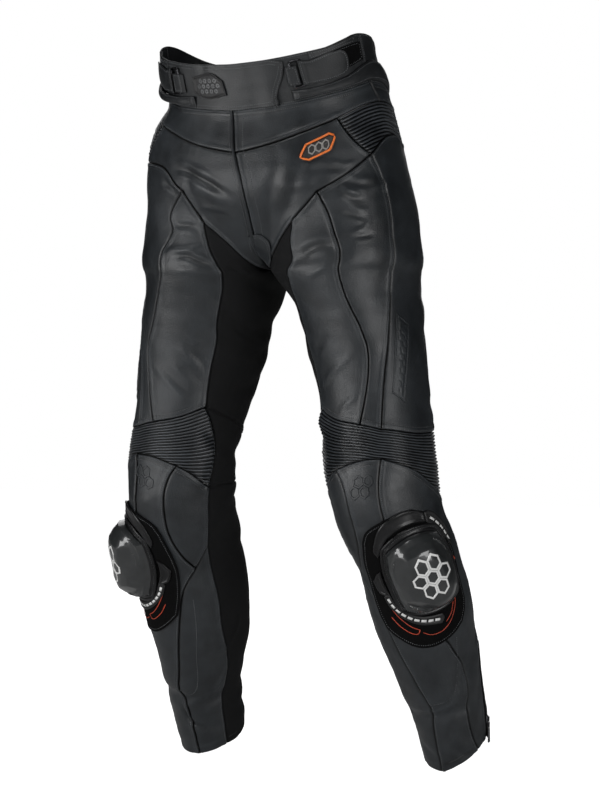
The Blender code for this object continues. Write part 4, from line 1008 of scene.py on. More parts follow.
def tuckEdges(points, normals, form, panel):
    # one more row on each side: a lapped edge turns down, and the other panel runs on under it
    def grown(edge, inner, outward, base):
        away = unit(edge - inner)
        under = np.full(len(edge), 9.0)
        over = np.full(len(edge), 9.0)
        for name, line in panel["seams"].items():
            gap = nearest(base, line)[0]
            if name in panel["over"]:
                over = np.minimum(over, gap)
            else:
                under = np.minimum(under, gap)
        lapped = rise(over - under, -0.001, 0.001)[:, None]
        turned, hidden = (edge + away * out + outward * up
                          for out, up in (seamLook["turned"], seamLook["hidden"]))
        return turned * (1 - lapped) + hidden * lapped
    first = grown(points[0], points[2], normals[0], form[0])
    last = grown(points[-1], points[-3], normals[-1], form[-1])
    points = np.concatenate([first[None], points, last[None]])
    normals = np.pad(normals, ((1, 1), (0, 0), (0, 0)), mode="edge")
    form = np.pad(form, ((1, 1), (0, 0), (0, 0)), mode="edge")
    first = grown(points[:, 0], points[:, 2], normals[:, 0], form[:, 0])
    last = grown(points[:, -1], points[:, -3], normals[:, -1], form[:, -1])
    points = np.concatenate([first[:, None], points, last[:, None]], axis=1)
    return points, np.pad(normals, ((0, 0), (1, 1), (0, 0)), mode="edge")


clothLook = {
    "leather": (leatherMaterial, "leather_charcoal", 0.0013),
    "stretch": (stretchMaterial, "stretch_black", 0.0011),
    "ribs": (ribMaterial, "leather_accordion", 0.0013),
    "tape": (stretchMaterial, "zip_black", 0.0011),
}
described = {}


def planOfRuns(top, right, bottom, left, cell=0.0045):
    width = max(lengthOf(onForm(top)), lengthOf(onForm(bottom)))
    height = max(lengthOf(onForm(left)), lengthOf(onForm(right)))
    return planBetween(top, right, bottom, left, graded(width, cell), graded(height, cell))


def panelPlan(panel):
    kind = panel["name"].replace("_left", "").replace("_right", "")
    return planOfRuns(*panel["runs"], panelLook["cell"].get(kind, panelLook["cellElsewhere"]))


def ribPlan(panel):
    # rows follow the ribs, which run side by side from the top seam and end at the bottom one
    top, right, bottom, left = panel["runs"]
    width = max(lengthOf(onForm(top)), lengthOf(onForm(bottom)))
    across = np.linspace(0, 1, round(width / panelLook["ribCell"]) + 1)
    down = np.linspace(0, 1, 61)
    plan = planBetween(top, right, bottom, left, across, down)
    form = onForm(plan)
    line = np.concatenate([panel["seams"][name] for name in panel["topNames"]])
    depth = nearest(form, line)[0]
    depth = np.maximum.accumulate(depth + 1e-5 * down[:, None], axis=0)
    start, growth = panelLook["ribPitch"][panel["name"].split("_")[0]]
    pitch = start + growth * depth[-1]
    most = int(np.ceil((depth[-1] / pitch).max()))
    phase = (np.arange(most)[:, None] + np.array(panelLook["ribSteps"])).reshape(-1)
    phase = np.append(phase, most)
    wanted = np.minimum(phase[:, None] * pitch, depth[-1])
    rows = np.stack([np.stack([np.interp(wanted[:, k], depth[:, k], plan[:, k, i])
                               for k in range(len(across))], -1) for i in (0, 1)], -1)
    return rows, np.broadcast_to(phase[:, None], wanted.shape), depth[-1] - wanted


def makeRibs(panel):
    # accordion leather: round ribs side by side with dark folds between them, painted shade in the
    # folds and a painted highlight on the crests
    plan, phase, left = ribPlan(panel)
    form = onForm(plan)
    inRib = (2 * (phase % 1) - 1) / 0.9
    size = 1 + 0.1 * np.sin(np.floor(phase) * 2.4 + form[..., 0] / 0.02)
    arc = np.sqrt(np.maximum(1 - inRib**2, 0))
    fade = rise(left, 0.0, 0.0015)
    for name, line in panel["seams"].items():
        if name not in panel["topNames"] + panel["bottomNames"]:
            fade = fade * rise(nearest(form, line)[0], 0.0002, 0.003)
    high = panelLook["ribHeight"][panel["name"].split("_")[0]]
    lift = high * (arc * size - 0.6) * fade
    points, normals, shade = panelSurface(panel, plan[..., 0], plan[..., 1], lift)
    # painted shade in the folds between the ribs and a painted highlight on their crests
    shade = np.minimum(shade, 0) + (arc**2 - 0.62) * 3.6 * fade
    return points, normals, shade


def makePanel(panel):
    material, slot, wall = clothLook[panel["cloth"]]
    name = "panel_" + panel["name"]
    if panel["cloth"] == "ribs":
        points, normals, shade = makeRibs(panel)
        piece = gridMesh(name, points, normals, wall, [material], shade, 1e-5)
    else:
        plan = panelPlan(panel)
        form = onForm(plan)
        points, normals, shade = panelSurface(panel, plan[..., 0], plan[..., 1])
        points, normals = tuckEdges(points, normals, form, panel)
        piece = gridMesh(name, points, normals, wall, [material],
                         np.pad(shade, 1, mode="edge"))
    dress(piece, panel["name"])
    declareSheet(piece, points)
    described[panel["name"]] = panel


flatSheet = {"fullest": 0.99, "ease": 1.02, "least": 0.31}     # cut area as shares of the flat size


def declareSheet(piece, points):
    # works out the flat size a panel is cut to, measured along its rows and columns, but neither
    # keeps nor returns it
    across = np.linalg.norm(np.diff(points, axis=1), axis=2).sum(1)
    along = np.linalg.norm(np.diff(points, axis=0), axis=2).sum(0)
    a, b = points[1:, 1:] - points[:-1, :-1], points[1:, :-1] - points[:-1, 1:]
    area = float(np.linalg.norm(np.cross(a, b), axis=2).sum() / 2)
    width, length = float(across.max()), float(along.max())
    if area > flatSheet["fullest"] * width * length:
        width, length = width * flatSheet["ease"], length * flatSheet["ease"]
    area = max(area, flatSheet["least"] * width * length)


def describeYokeBack():
    seams = seamTable(1)
    flip = np.array([-1, 1, 1])
    panel = {"name": "yoke_back", "side": 1, "cloth": "leather", "seams": {}, "over": set()}
    for seam in ("waistBack", "yokeCorner", "yokeBack", "yokeSideSeam"):
        count, *places = seams[seam]
        line = onForm(curveThrough(places, 8 * count))
        for mark, points in (("", line), ("_far", line * flip)):
            panel["seams"][seam + mark] = points
            if seam != "yokeSideSeam":
                panel["over"].add(seam + mark)
    top = acrossBack(chain(seams, "waistBack"))
    bottom = acrossBack(chain(seams, "yokeCorner yokeBack"))
    left = chain(seams, "yokeSideSeam")
    panel["runs"] = [top, left * np.array([-1, 1]) + np.array([2, 0]), bottom, left]
    return panel


bothSides = ((1, "_left"), (-1, "_right"))
legThread = {1: "left_leg", -1: "right_leg"}
for side, mark in bothSides:
    for row in panels:
        makePanel(describePanel(row, side, mark))
makePanel(describeYokeBack())
print("panels made")


threadLook = {
    "pitch": 0.003, "half": 0.001, "thick": 0.00044, "broad": 0.00056,
    "sunk": 0.00005,
}
stitchGroups = {}


def standing(along, across, outward, place):
    # the transform of a small block that lies along, across and outward at this place
    return Matrix((*zip(along, across, outward, place), (0, 0, 0, 1)))


def sewRow(points, normals, group):
    # lays stitches along a line of points, each a short thick thread that leans into the cloth
    along = alongRun(points)
    count = int(along[-1] / threadLook["pitch"])
    if count < 1:
        return
    at = (np.arange(count) + 0.5) * along[-1] / count

    def pick(values, shift=0.0):
        return np.stack([np.interp(at + shift, along, values[:, i]) for i in range(3)], -1)
    place = pick(points)
    outward = unit(pick(normals))
    heading = unit(pick(points, 0.001) - pick(points, -0.001))
    across = unit(np.cross(outward, heading))
    stitchGroups.setdefault(group, []).extend(map(
        standing, heading * threadLook["half"], across * threadLook["broad"],
        outward * threadLook["thick"], place - outward * threadLook["sunk"]))


def takeIn(whole, part):
    # adds one bmesh to another
    mesh = bpy.data.meshes.new("few")
    part.to_mesh(mesh)
    part.free()
    whole.from_mesh(mesh)
    bpy.data.meshes.remove(mesh)


def makeStitches():
    for group, places in stitchGroups.items():
        whole = bmesh.new()
        for start in range(0, len(places), 150):
            few = bmesh.new()
            for matrix in places[start:start + 150]:
                bmesh.ops.create_icosphere(few, subdivisions=1, radius=1.0, matrix=matrix)
            takeIn(whole, few)
        dress(meshObject("stitches_" + group, whole, [threadMaterial]))


def moved(places, distance):
    # a run of places shifted sideways over the form, to the left of its heading if positive
    around, drop = places[:, 0], places[:, 1]
    over, down = slopes(around, drop)
    points = onForm(places)
    heading = unit(np.gradient(points, axis=0))
    outward = unit(np.cross(down, over))
    want = np.cross(outward, heading) * distance
    a, b, c = (over * over).sum(1), (over * down).sum(1), (down * down).sum(1)
    p, q = (over * want).sum(1), (down * want).sum(1)
    det = a * c - b * b
    return places + np.stack([(p * c - q * b) / det, (q * a - p * b) / det], -1)


def sewPanel(panel):
    inner = onForm(panelPlan(panel)[2:-2, 2:-2].reshape(-1, 2))[::7]
    for run in panel["runs"]:
        fine = spreadAlong(run, np.linspace(0, 1, max(8, round(lengthOf(onForm(run)) / 0.004))))
        for distance in (*seamLook["double"], *seamLook["hem"]):
            tries = [moved(fine, sign * distance) for sign in (1, -1)]
            middle = [onForm(t)[len(fine) // 2] for t in tries]
            reach = [np.linalg.norm(inner - m, axis=1).min() for m in middle]
            row = tries[int(np.argmin(reach))]
            form = onForm(row)
            off = np.full(len(row), 9.0)
            over = np.full(len(row), 9.0)
            other = np.full(len(row), 9.0)
            for name, line in panel["seams"].items():
                gap = nearest(form, line)[0]
                if name in panel["over"]:
                    sewn = any(abs(distance - one) < 0.0001 for one in rowsOf(name))
                    off = np.where(gap < over, np.abs(gap - distance) + (not sewn), off)
                    over = np.minimum(over, gap)
                else:
                    other = np.minimum(other, gap)
            keep = (off < 0.001) & (other > 0.0012)
            points, normals, _ = panelSurface(panel, row[:, 0], row[:, 1])
            for piece in np.split(np.arange(len(row)), np.where(np.diff(keep.astype(int)))[0] + 1):
                if keep[piece[0]] and len(piece) > 1:
                    sewRow(points[piece], normals[piece], legThread[panel["side"]])


for panel in described.values():
    sewPanel(panel)
print("panel stitches laid out")


bandLook = {
    "top": ((0.0, -0.061), (0.1, -0.063), (0.2, -0.066), (0.3, -0.068), (0.36, -0.072),
            (0.42, -0.076), (0.5, -0.077), (0.75, -0.078), (1.0, -0.078)),
    "foot": ((0.0, 0.0), (0.1, -0.004), (0.2, -0.008), (0.3, -0.012), (0.465, -0.018),
             (0.7, -0.018), (1.0, -0.014)),
    "under": 0.0015,          # the band's foot reaches this far below the waist seam
    "tape": 0.009,            # half the height of the facing strip inside
    "tapeLift": -0.0034,
    "wall": 0.0022,
    "lap": 0.0034,            # the overlapping end lies this much higher
    "rollTop": ((0.11, -0.021), (0.195, -0.0205), (0.26, -0.0225), (0.36, -0.029),
                (0.44, -0.038), (0.51, -0.0455), (0.7, -0.046), (1.0, -0.044)),
    "rollThick": 0.0055,
    "rollEnds": (0.152, 0.118),
}


def edgeAt(table, around):
    knots = np.array(table)
    return np.interp(np.abs(around), knots[:, 0], knots[:, 1])


def fromBorder(points):
    # distance of each grid point from the grid's own border, on the form
    sides = (points[0], points[-1], points[:, 0], points[:, -1])
    return np.minimum.reduce([nearest(points, line)[0] for line in sides])


def seamGroove(points, line):
    # a sewn seam across a piece: one side laps over the other
    gap, place = nearest(points, line)
    height = 0.0006 * ridge(gap, 0.003, 0.0028) - 0.0007 * ridge(gap, 0, 0.0009)
    height -= 0.00025 * ridge(gap, 0.002, 0.0008)
    return height + 0.0002 * np.sin(place / 0.0028) * np.exp(-gap / 0.007)


# a laid piece's edge turns down by a share of its thickness, and stands out a little
pieceLook = {"turned": 0.8, "edge": 0.0003, "stitchDip": 0.00028, "pucker": 0.00012}


def layPiece(name, plan, side, lift, wall, material, node=None, rows=(0.0022,),
             relief=None, group="waist", cloth=True):
    # a piece that lies on the trousers over these places, with a turned edge and stitched rows
    lift, wall = np.broadcast_to(lift, plan.shape[:2]), np.broadcast_to(wall, plan.shape[:2])
    around, drop = plan[..., 0], plan[..., 1]
    form = onForm(plan)
    gap = fromBorder(form)
    height = lift + wall
    for row in rows:
        height = height - pieceLook["stitchDip"] * ridge(gap, row, 0.0008)
    if rows:
        ripple = np.sin(form.sum(-1) / 0.0011)
        height = height + pieceLook["pucker"] * ripple * np.exp(-gap / 0.004)
    if relief is not None:
        height = height + relief(form, around, drop, gap)
    flat, normals = surface(around, drop, side, height)
    turned = pieceLook["turned"] * wall[..., None] * normals

    def ring(edge, inner, outward):
        return edge + unit(edge - inner) * pieceLook["edge"] - outward
    first, last = ring(flat[0], flat[2], turned[0]), ring(flat[-1], flat[-3], turned[-1])
    points = np.concatenate([first[None], flat, last[None]])
    turned = np.pad(turned, ((1, 1), (0, 0), (0, 0)), mode="edge")
    first = ring(points[:, 0], points[:, 2], turned[:, 0])
    last = ring(points[:, -1], points[:, -3], turned[:, -1])
    first[[0, -1]], last[[0, -1]] = first[[1, -2]], last[[1, -2]]
    points = np.concatenate([first[:, None], points, last[:, None]], axis=1)
    normals = np.pad(normals, ((1, 1), (1, 1), (0, 0)), mode="edge")
    piece = gridMesh(name, points, normals, float(np.mean(wall)), [material])
    dress(piece, node)
    if cloth:
        declareSheet(piece, flat)
    for row in rows:
        sewBorder(plan, side, row, height, group)


def sewBorder(plan, side, row, height, group):
    # a row of stitches at this distance inside all four edges of a laid piece
    runs = (plan[0], plan[-1][::-1], plan[::-1, 0], plan[:, -1])
    for number, run in enumerate(runs):
        line = moved(run, -row)
        if fromMiddle(line, plan) > fromMiddle(run, plan):
            line = moved(run, row)
        on = onForm(line)
        inside = np.minimum.reduce([nearest(on, onForm(edge))[0]
                                    for other, edge in enumerate(runs) if other != number])
        line = line[inside > row * 0.9]
        if len(line) < 2:
            continue
        index = nearestCell(plan, line)
        put, out = surface(line[:, 0], line[:, 1], side, height.reshape(-1)[index])
        sewRow(put, out, group)


def fromMiddle(run, plan):
    # mean distance of a run from the middle of a piece
    return np.linalg.norm(onForm(run) - onForm(plan).mean(axis=(0, 1)), axis=1).mean()


def nearestCell(plan, places):
    scale = np.array([cut["girth"], 1])
    flat = plan.reshape(-1, 2) * scale
    return np.array([int(np.argmin(((flat - q * scale) ** 2).sum(1))) for q in places])


def finePlan(top, right, bottom, left, cell=0.004):
    top, right, bottom, left = (np.array(run, float) for run in (top, right, bottom, left))
    width = max(lengthOf(onForm(curveThrough(run, 12))) for run in (top, bottom))
    height = max(lengthOf(onForm(curveThrough(run, 12))) for run in (left, right))
    runs = [curveThrough(run, 48) for run in (top, right, bottom, left)]
    return planBetween(*runs, graded(width, cell), graded(height, cell))


def bandRuns(around):
    top = np.stack([around, edgeAt(bandLook["top"], around)], -1)
    foot = np.stack([around, edgeAt(bandLook["foot"], around) + bandLook["under"]], -1)
    return top, foot


def makeWaistband():
    shapedEnd = curveThrough(((-0.148, -0.0585), (-0.147, -0.05), (-0.135, -0.038),
                              (-0.118, -0.026), (-0.108, -0.016), (-0.103, -0.0052)), 40)
    top, foot = bandRuns(np.concatenate([[-0.148], np.linspace(-0.11, 0.4625, 90)]))
    top[0], foot[0] = shapedEnd[0], shapedEnd[-1]
    plan = planOfRuns(top, np.linspace(top[-1], foot[-1], 20), foot, shapedEnd)
    lap = bandLook["lap"] * rise(-plan[..., 0], 0.045, 0.09)
    centreSeam = onForm(np.linspace((-0.02, -0.062), (-0.03, 0.0), 20))

    def bandFolds(form, around, drop, gap):
        height = seamGroove(form, centreSeam)
        height += 0.0009 * ridge(around, 0.045, 0.012) * ridge(drop, -0.056, 0.02)
        height -= 0.0012 * ridge(around, 0.075, 0.01) * ridge(drop, -0.06, 0.012)
        return height + 0.0005 * np.sin(around / 0.013 + drop * 60) * rise(around, 0.12, 0.2)
    layPiece("waistband_front", plan, -1, lap - bandLook["wall"], bandLook["wall"],
             bandShadedLeather, "waistband_front_right", (0.0022, 0.0062),
             bandFolds)
    top, foot = bandRuns(np.linspace(0.097, 0.4625, 60))
    plan = planOfRuns(top, np.linspace(top[-1], foot[-1], 20), foot,
                      np.linspace(top[0], foot[0], 20))
    lowSeam = onForm(np.linspace((0.095, -0.0185), (0.165, -0.0195), 16))

    def underFolds(form, around, drop, gap):
        return seamGroove(form, lowSeam) + 0.0004 * np.sin(around / 0.011 + drop * 45)
    layPiece("waistband_under", plan, 1, -bandLook["wall"], bandLook["wall"],
             bandShadedLeather, "waistband_front_left", (0.0022,), underFolds)
    half = np.linspace(0.4655, 1, 60)
    top, foot = (acrossBack(run) for run in bandRuns(half))
    plan = planOfRuns(top, np.linspace(top[-1], foot[-1], 20), foot,
                      np.linspace(top[0], foot[0], 20))

    def backFolds(form, around, drop, gap):
        gather = rise(1 - np.abs(around - 1), 0.55, 0.75)     # elastic gathers at the centre back
        rows = np.sin((drop + 0.02) / 0.0105 * 2 * np.pi)
        crumple = np.sin(around / 0.0062 + 1.7 * np.sin(drop * 190)) * 0.0006
        return gather * (0.0005 * rows + crumple) + 0.0006 * ridge(gap, 0.004, 0.004)
    layPiece("waistband_seat", plan, 1, -bandLook["wall"], bandLook["wall"], bandShadedLeather,
             "waistband_back", (0.0022,), backFolds)


def makeWaistTape(side, mark):
    # the facing strip inside, over the seam of waistband and yokes
    around = np.linspace(0.03, 1.0, 100)
    foot = edgeAt(bandLook["foot"], around)
    top = np.stack([around, foot - bandLook["tape"]], -1)
    low = np.stack([around, foot + bandLook["tape"]], -1)
    plan = planBetween(top, np.linspace(top[-1], low[-1], 5), low,
                       np.linspace(top[0], low[0], 5), np.linspace(0, 1, 100),
                       np.linspace(0, 1, 7))
    points, normals = surface(plan[..., 0], plan[..., 1], side, bandLook["tapeLift"])
    piece = gridMesh("waist_tape" + mark, points, normals, 0.0009, [stretchMaterial])
    declareSheet(dress(piece), points)


def makeRoll():
    # the padded roll under the band, round the back from one front to the other
    leftEnd, rightEnd = bandLook["rollEnds"]
    left, right = np.linspace(leftEnd, 1, 110), np.linspace(rightEnd, 1, 110)
    around = np.concatenate([left, 2 - right[::-1][1:]])
    fold = 1 - np.abs(1 - around)
    top = np.stack([around, edgeAt(bandLook["rollTop"], fold)], -1)
    foot = np.stack([around, edgeAt(bandLook["foot"], fold) - 0.0014], -1)
    height = np.linspace(0, 1, 17)
    plan = planBetween(top, np.linspace(top[-1], foot[-1], 5), foot,
                       np.linspace(top[0], foot[0], 5), np.linspace(0, 1, 260), height)
    fold = 1 - np.abs(1 - plan[..., 0])
    toEnd = (fold - np.where(plan[..., 0] < 1, leftEnd, rightEnd)) * cut["girth"]
    across = np.sqrt(np.maximum(1 - (2 * height[:, None] - 1) ** 2, 0)) ** 0.8
    full = np.clip(0.3 + toEnd / 0.05, 0, 1)
    thick = 0.0008 + bandLook["rollThick"] * across * full
    thick = thick * (1 - 0.75 * ridge(toEnd, 0, 0.0025))
    form = onForm(plan)
    along = alongRun(form[8])
    pull = 0.00045 * np.sin(along / 0.0075 + 2 * np.sin(along / 0.043))
    thick = thick + pull * across - 0.0006 * ridge(height[:, None], 0.13, 0.045)
    thick = thick - 0.0005 * ridge(height[:, None], 0.87, 0.05)
    curl = 0.0045 * ridge(toEnd, 0, 0.014) * (plan[..., 0] > 1) * (1 - height[:, None])
    outer, normals = surface(plan[..., 0], plan[..., 1], 1, 0.0008 + thick + curl)
    piece = gridMesh("waist_roll_padded", outer, normals, 0.0014, [bandShadedLeather])
    dress(piece, "waist_roll")
    for row in (2, 14):
        sewRow(outer[row], normals[row], "waist")
    for column in (3, -4):
        sewRow(outer[2:15, column], normals[2:15, column], "waist")


def softTube(name, points, radius, material, node=None, closed=False):
    # a round cord or wire through the points
    curve = bpy.data.curves.new(name, "CURVE")
    curve.dimensions = "3D"
    curve.bevel_depth = radius
    curve.bevel_resolution = 3
    curve.use_fill_caps = True
    spline = curve.splines.new("POLY")
    spline.points.add(len(points) - 1)
    for point, place in zip(spline.points, points):
        point.co = (*[float(x) for x in place], 1)
    spline.use_cyclic_u = closed
    curve.materials.append(material)
    piece = bpy.data.objects.new(name, curve)
    bpy.context.scene.collection.objects.link(piece)
    dress(piece, node)


adjusterRing = {"centre": (0.187, -0.041), "half": (0.005, 0.0145), "corner": 0.003,
                "wire": 0.0014}
# each soft piece of an adjuster: its cell, and its top, right, bottom and left edges
adjusterShapes = {
    "tab": (0.0025, [(0.15, -0.05), (0.188, -0.051)], [(0.188, -0.051), (0.188, -0.027)],
        [(0.15, -0.026), (0.188, -0.027)], [(0.15, -0.05), (0.15, -0.026)]),
    "strap": (0.0035, [(0.197, -0.057), (0.235, -0.055), (0.298, -0.06), (0.352, -0.0615)],
        [(0.352, -0.0615), (0.372, -0.0575), (0.38, -0.048), (0.372, -0.037),
         (0.35, -0.0315)],
        [(0.197, -0.0255), (0.29, -0.0275), (0.35, -0.0315)],
        [(0.197, -0.057), (0.197, -0.0255)]),
    "loop": (0.003, [(0.285, -0.059), (0.37, -0.064), (0.455, -0.066)],
        [(0.455, -0.066), (0.455, -0.044)],
        [(0.285, -0.0345), (0.37, -0.038), (0.455, -0.044)],
        [(0.285, -0.059), (0.285, -0.0345)]),
    "binding": (0.003, [(0.236, -0.066), (0.3, -0.0668), (0.36, -0.0708), (0.43, -0.0752)],
        [(0.43, -0.0752), (0.43, -0.0665)],
        [(0.236, -0.056), (0.3, -0.06), (0.37, -0.0645), (0.43, -0.0665)],
        [(0.236, -0.066), (0.236, -0.056)]),
}


def makeAdjusters(side, mark):
    around, drop = adjusterRing["centre"]
    middle, _ = surface(around, drop, side, 0.003)
    down = unit(surface(around, drop + 0.016, side)[0] - surface(around, drop - 0.016, side)[0])
    over = surface(around + 0.014, drop, side)[0] - surface(around - 0.014, drop, side)[0]
    over = unit(over - down * (over @ down))
    angles = np.radians(np.arange(0, 360, 10))
    corner = np.stack([np.sign(wave) * half + adjusterRing["corner"] * wave for wave, half
                       in zip((np.cos(angles), np.sin(angles)), adjusterRing["half"])], -1)
    ring = middle + corner[:, :1] * over + corner[:, 1:] * down
    softTube("waist_ring" + mark, ring, adjusterRing["wire"], steelMaterial,
             "adjuster_ring" + mark, closed=True)
    tab, strap, loop, binding = (finePlan(*runs, cell)
                                 for cell, *runs in adjusterShapes.values())
    layPiece("tab_of_ring" + mark, tab, side,
             0.0008 + 0.0046 * rise(tab[..., 0], 0.149, 0.157), 0.0015, bandShadedLeather,
             "ring_tab" + mark, (0.002,))
    overRing = 0.0036 * (1 - rise(strap[..., 0], 0.204, 0.23))
    layPiece("strap_of_waist" + mark, strap, side, 0.0024 + overRing, 0.0018, bandShadedLeather,
             "adjuster_strap" + mark, (0.0024,),
             lambda form, around, drop, gap: 0.0005 * ridge(gap, 0.012, 0.008))
    layPiece("loop_patch" + mark, loop, side, 0.0006, 0.001, pileMaterial,
             "velcro_loop" + mark, (0.0018,))
    layPiece("band_binding" + mark, binding, side, 0.0003, 0.0013, bandShadedLeather,
             None, (0.002,))


makeWaistband()
for side, mark in bothSides:
    makeWaistTape(side, mark)
makeRoll()
for side, mark in bothSides:
    makeAdjusters(side, mark)
print("waist made")


def hexagons(around, drop, centre, size, spread):
    # 0 in the middle of each cell and 1 at its edge, for a honeycomb laid over these places
    x = (around - centre[0]) * spread
    y = drop - centre[1]
    best = np.full(x.shape, 9.0)
    for row in range(-6, 7):
        for column in range(-6, 7):
            cx = size * math.sqrt(3) * (column + (row % 2) / 2)
            cy = size * 1.5 * row
            dx, dy = np.abs(x - cx), np.abs(y - cy)
            best = np.minimum(best, np.maximum(dx, dx * 0.5 + dy * math.sqrt(3) / 2))
    return best / (size * math.sqrt(3) / 2)


def faceOutward(bm, outward):
    bmesh.ops.recalc_face_normals(bm, faces=bm.faces[:])
    for face in bm.faces:
        if face.normal.dot(Vector(outward)) < 0:
            face.normal_flip()


def hexRings(name, cells, onto, size, line, material, wall, outward):
    # flat six-sided rings; onto maps a ring's own x and y to points on the trousers
    bm = bmesh.new()
    for column, row in cells:
        ring = bmesh.new()
        for radius in (size, size * (1 - line)):
            bmesh.ops.create_circle(ring, segments=6, radius=radius)
        bmesh.ops.bridge_loops(ring, edges=ring.edges[:])
        bmesh.ops.subdivide_edges(ring, edges=ring.edges[:], cuts=2, use_grid_fill=True)
        x = np.array([v.co.x for v in ring.verts]) + column * size * 1.76
        y = np.array([v.co.y for v in ring.verts]) + row * size * 1.53
        for vert, place in zip(ring.verts, onto(x, y).tolist()):
            vert.co = place
        takeIn(bm, ring)
    faceOutward(bm, outward)
    return dress(meshObject(name, bm, [material], wall))


badgeLook = {"centre": (0.064, -0.034), "size": 0.0042, "line": 0.84, "squeeze": 0.9}


def badgePlace(x, y):
    around = badgeLook["centre"][0] + x / cut["girth"]
    return surface(around, badgeLook["centre"][1] + y * badgeLook["squeeze"], -1, 0.0021)[0]


def makeBadge():
    plan = finePlan([(0.112, -0.046), (0.05, -0.051), (0.02, -0.04)],
                    [(0.02, -0.04), (0.016, -0.021)],
                    [(0.115, -0.025), (0.07, -0.017), (0.016, -0.021)],
                    [(0.112, -0.046), (0.115, -0.025)], 0.0009)

    def honeycomb(form, around, drop, gap):
        return 0.0012 * rise(0.0022 - gap, 0, 0.0006) - 0.0006
    layPiece("badge_of_waist", plan, -1, 0.0008, 0.0016, badgeMaterial,
             "waist_badge", (), honeycomb, cloth=False)
    # the raised cells in the lighter rubber, a painted highlight
    cells = [(x, 0) for x in (-2.4, -1.2, 0, 1.2, 2.4)]
    cells += [(x, y) for x in (-1.8, -0.6, 0.6, 1.8) for y in (-1.2, 1.2)]
    _, normal = surface(0.066, -0.034, -1)
    hexRings("badge_cells", cells, badgePlace, badgeLook["size"], badgeLook["line"],
             badgeCellHighlight, 0.0012, normal)


emblemLook = {"centre": (0.216, 0.0553), "slant": -0.21, "ring": 0.0072, "line": 0.3}


def emblemPlace(x, y):
    around, drop = emblemLook["centre"]
    drop = drop + y + emblemLook["slant"] * x
    return surface(around + x / cut["girth"], drop, 1, 0.0022)[0]


def makeEmblem():
    plan = finePlan([(0.176, 0.05), (0.25, 0.037)],
                    [(0.25, 0.037), (0.272, 0.043), (0.252, 0.061)],
                    [(0.184, 0.0735), (0.252, 0.061)],
                    [(0.176, 0.05), (0.158, 0.068), (0.184, 0.0735)], 0.0009)

    def cells(form, around, drop, gap):
        edge = hexagons(around, drop, emblemLook["centre"], 0.0058, cut["girth"])
        return 0.0009 * rise(1 - edge, 0.08, 0.2) * rise(gap, 0.0042, 0.005) - 0.0011
    layPiece("emblem_cells", plan, 1, 0.0006, 0.0016, emblemMaterial,
             "hip_emblem", (), cells, cloth=False)
    _, normal = surface(0.215, 0.0553, 1)
    hexRings("emblem_rings", ((-1, 0), (0, 0), (1, 0)), emblemPlace, emblemLook["ring"],
             emblemLook["line"], paleMaterial, 0.0008, normal)
    # the orange frame: a raised six-sided outline
    border = np.vstack([plan[0], plan[1:, -1], plan[-1, ::-1][1:], plan[::-1, 0][1:-1]])
    ring = moved(np.vstack([border, border[:1]]), 0.0021)
    if fromMiddle(ring, plan) > fromMiddle(border, plan):
        ring = moved(np.vstack([border, border[:1]]), -0.0021)
    points, _ = surface(ring[:-1, 0], ring[:-1, 1], 1, 0.0022)
    softTube("emblem_frame", points, 0.00145, orangeMaterial, closed=True)


def makeCrotchPatch():
    plan = finePlan([(-0.003, 0.167), (0.02, 0.164), (0.036, 0.165)],
                    [(0.036, 0.165), (0.066, 0.176), (0.096, 0.2)],
                    [(0.022, 0.207), (0.06, 0.2075), (0.096, 0.2)],
                    [(-0.003, 0.167), (-0.001, 0.186), (0.022, 0.207)], 0.003)
    layPiece("patch_of_crotch", plan, 1, 0.0009, 0.0013, leatherMaterial,
             "crotch_patch", (0.002, 0.005))


flyLook = {
    "half": 0.011,            # half the width of the strip behind the slit
    "behind": -0.0034,
    "welt": 0.0016,           # the welt's line from the slit's
    "weltRound": 0.0019,
    "rows": ((0.015, "left_leg"), (-0.0085, "right_leg")),
}


def besideFly(run, distance):
    # the slit's run moved to the wearer's left, or to the right if negative
    row = moved(run, distance)
    if (onForm(row)[30, 0] - onForm(run)[30, 0]) * distance < 0:
        row = moved(run, -distance)
    return row


def makeFly():
    # strip behind the slit, the rolled welt on its right and stitched rows on both sides
    run = curveThrough(flyLine[:6], 90)
    inner, outer = moved(run, flyLook["half"]), moved(run, -flyLook["half"])
    plan = np.stack([inner, run, outer], 1)
    plan = np.stack([spreadAlong(row, np.linspace(0, 1, 9)) for row in plan])
    points, normals = surface(plan[..., 0], plan[..., 1], 1, flyLook["behind"])
    strip = gridMesh("fly_strip", points, normals, 0.0011, [stretchMaterial])
    declareSheet(dress(strip, "fly_facing"), points)
    openness = np.clip((cut["crotchDrop"] - run[:, 1]) / 0.05, 0, 1) * cut["flyGap"]
    welt, _ = surface(*besideFly(run, -flyLook["welt"]).T, 1, 0.0012)
    welt[:, 0] -= openness
    softTube("fly_welt", welt, flyLook["weltRound"], leatherMaterial)
    for distance, group in flyLook["rows"]:
        put, out = surface(*besideFly(run, distance).T, 1, 0.00025)
        sewRow(put, out, group)


makeBadge()
makeEmblem()
makeCrotchPatch()
makeFly()
print("front details made")

stageLook = {
    "floorDrop": 0.003,        # below the lowest hem
    "floorColour": (0.86, 0.86, 0.86),
    "floorHalf": 6.0,
    "world": 0.02,
    "backdrop": 1.0,
    "azimuth": 29.0, "elevation": 1.0, "distance": 3.5,
    "lens": 114.1,
    "target": (0.0, 0.0, -0.389), "shiftRight": 0.0276,
}


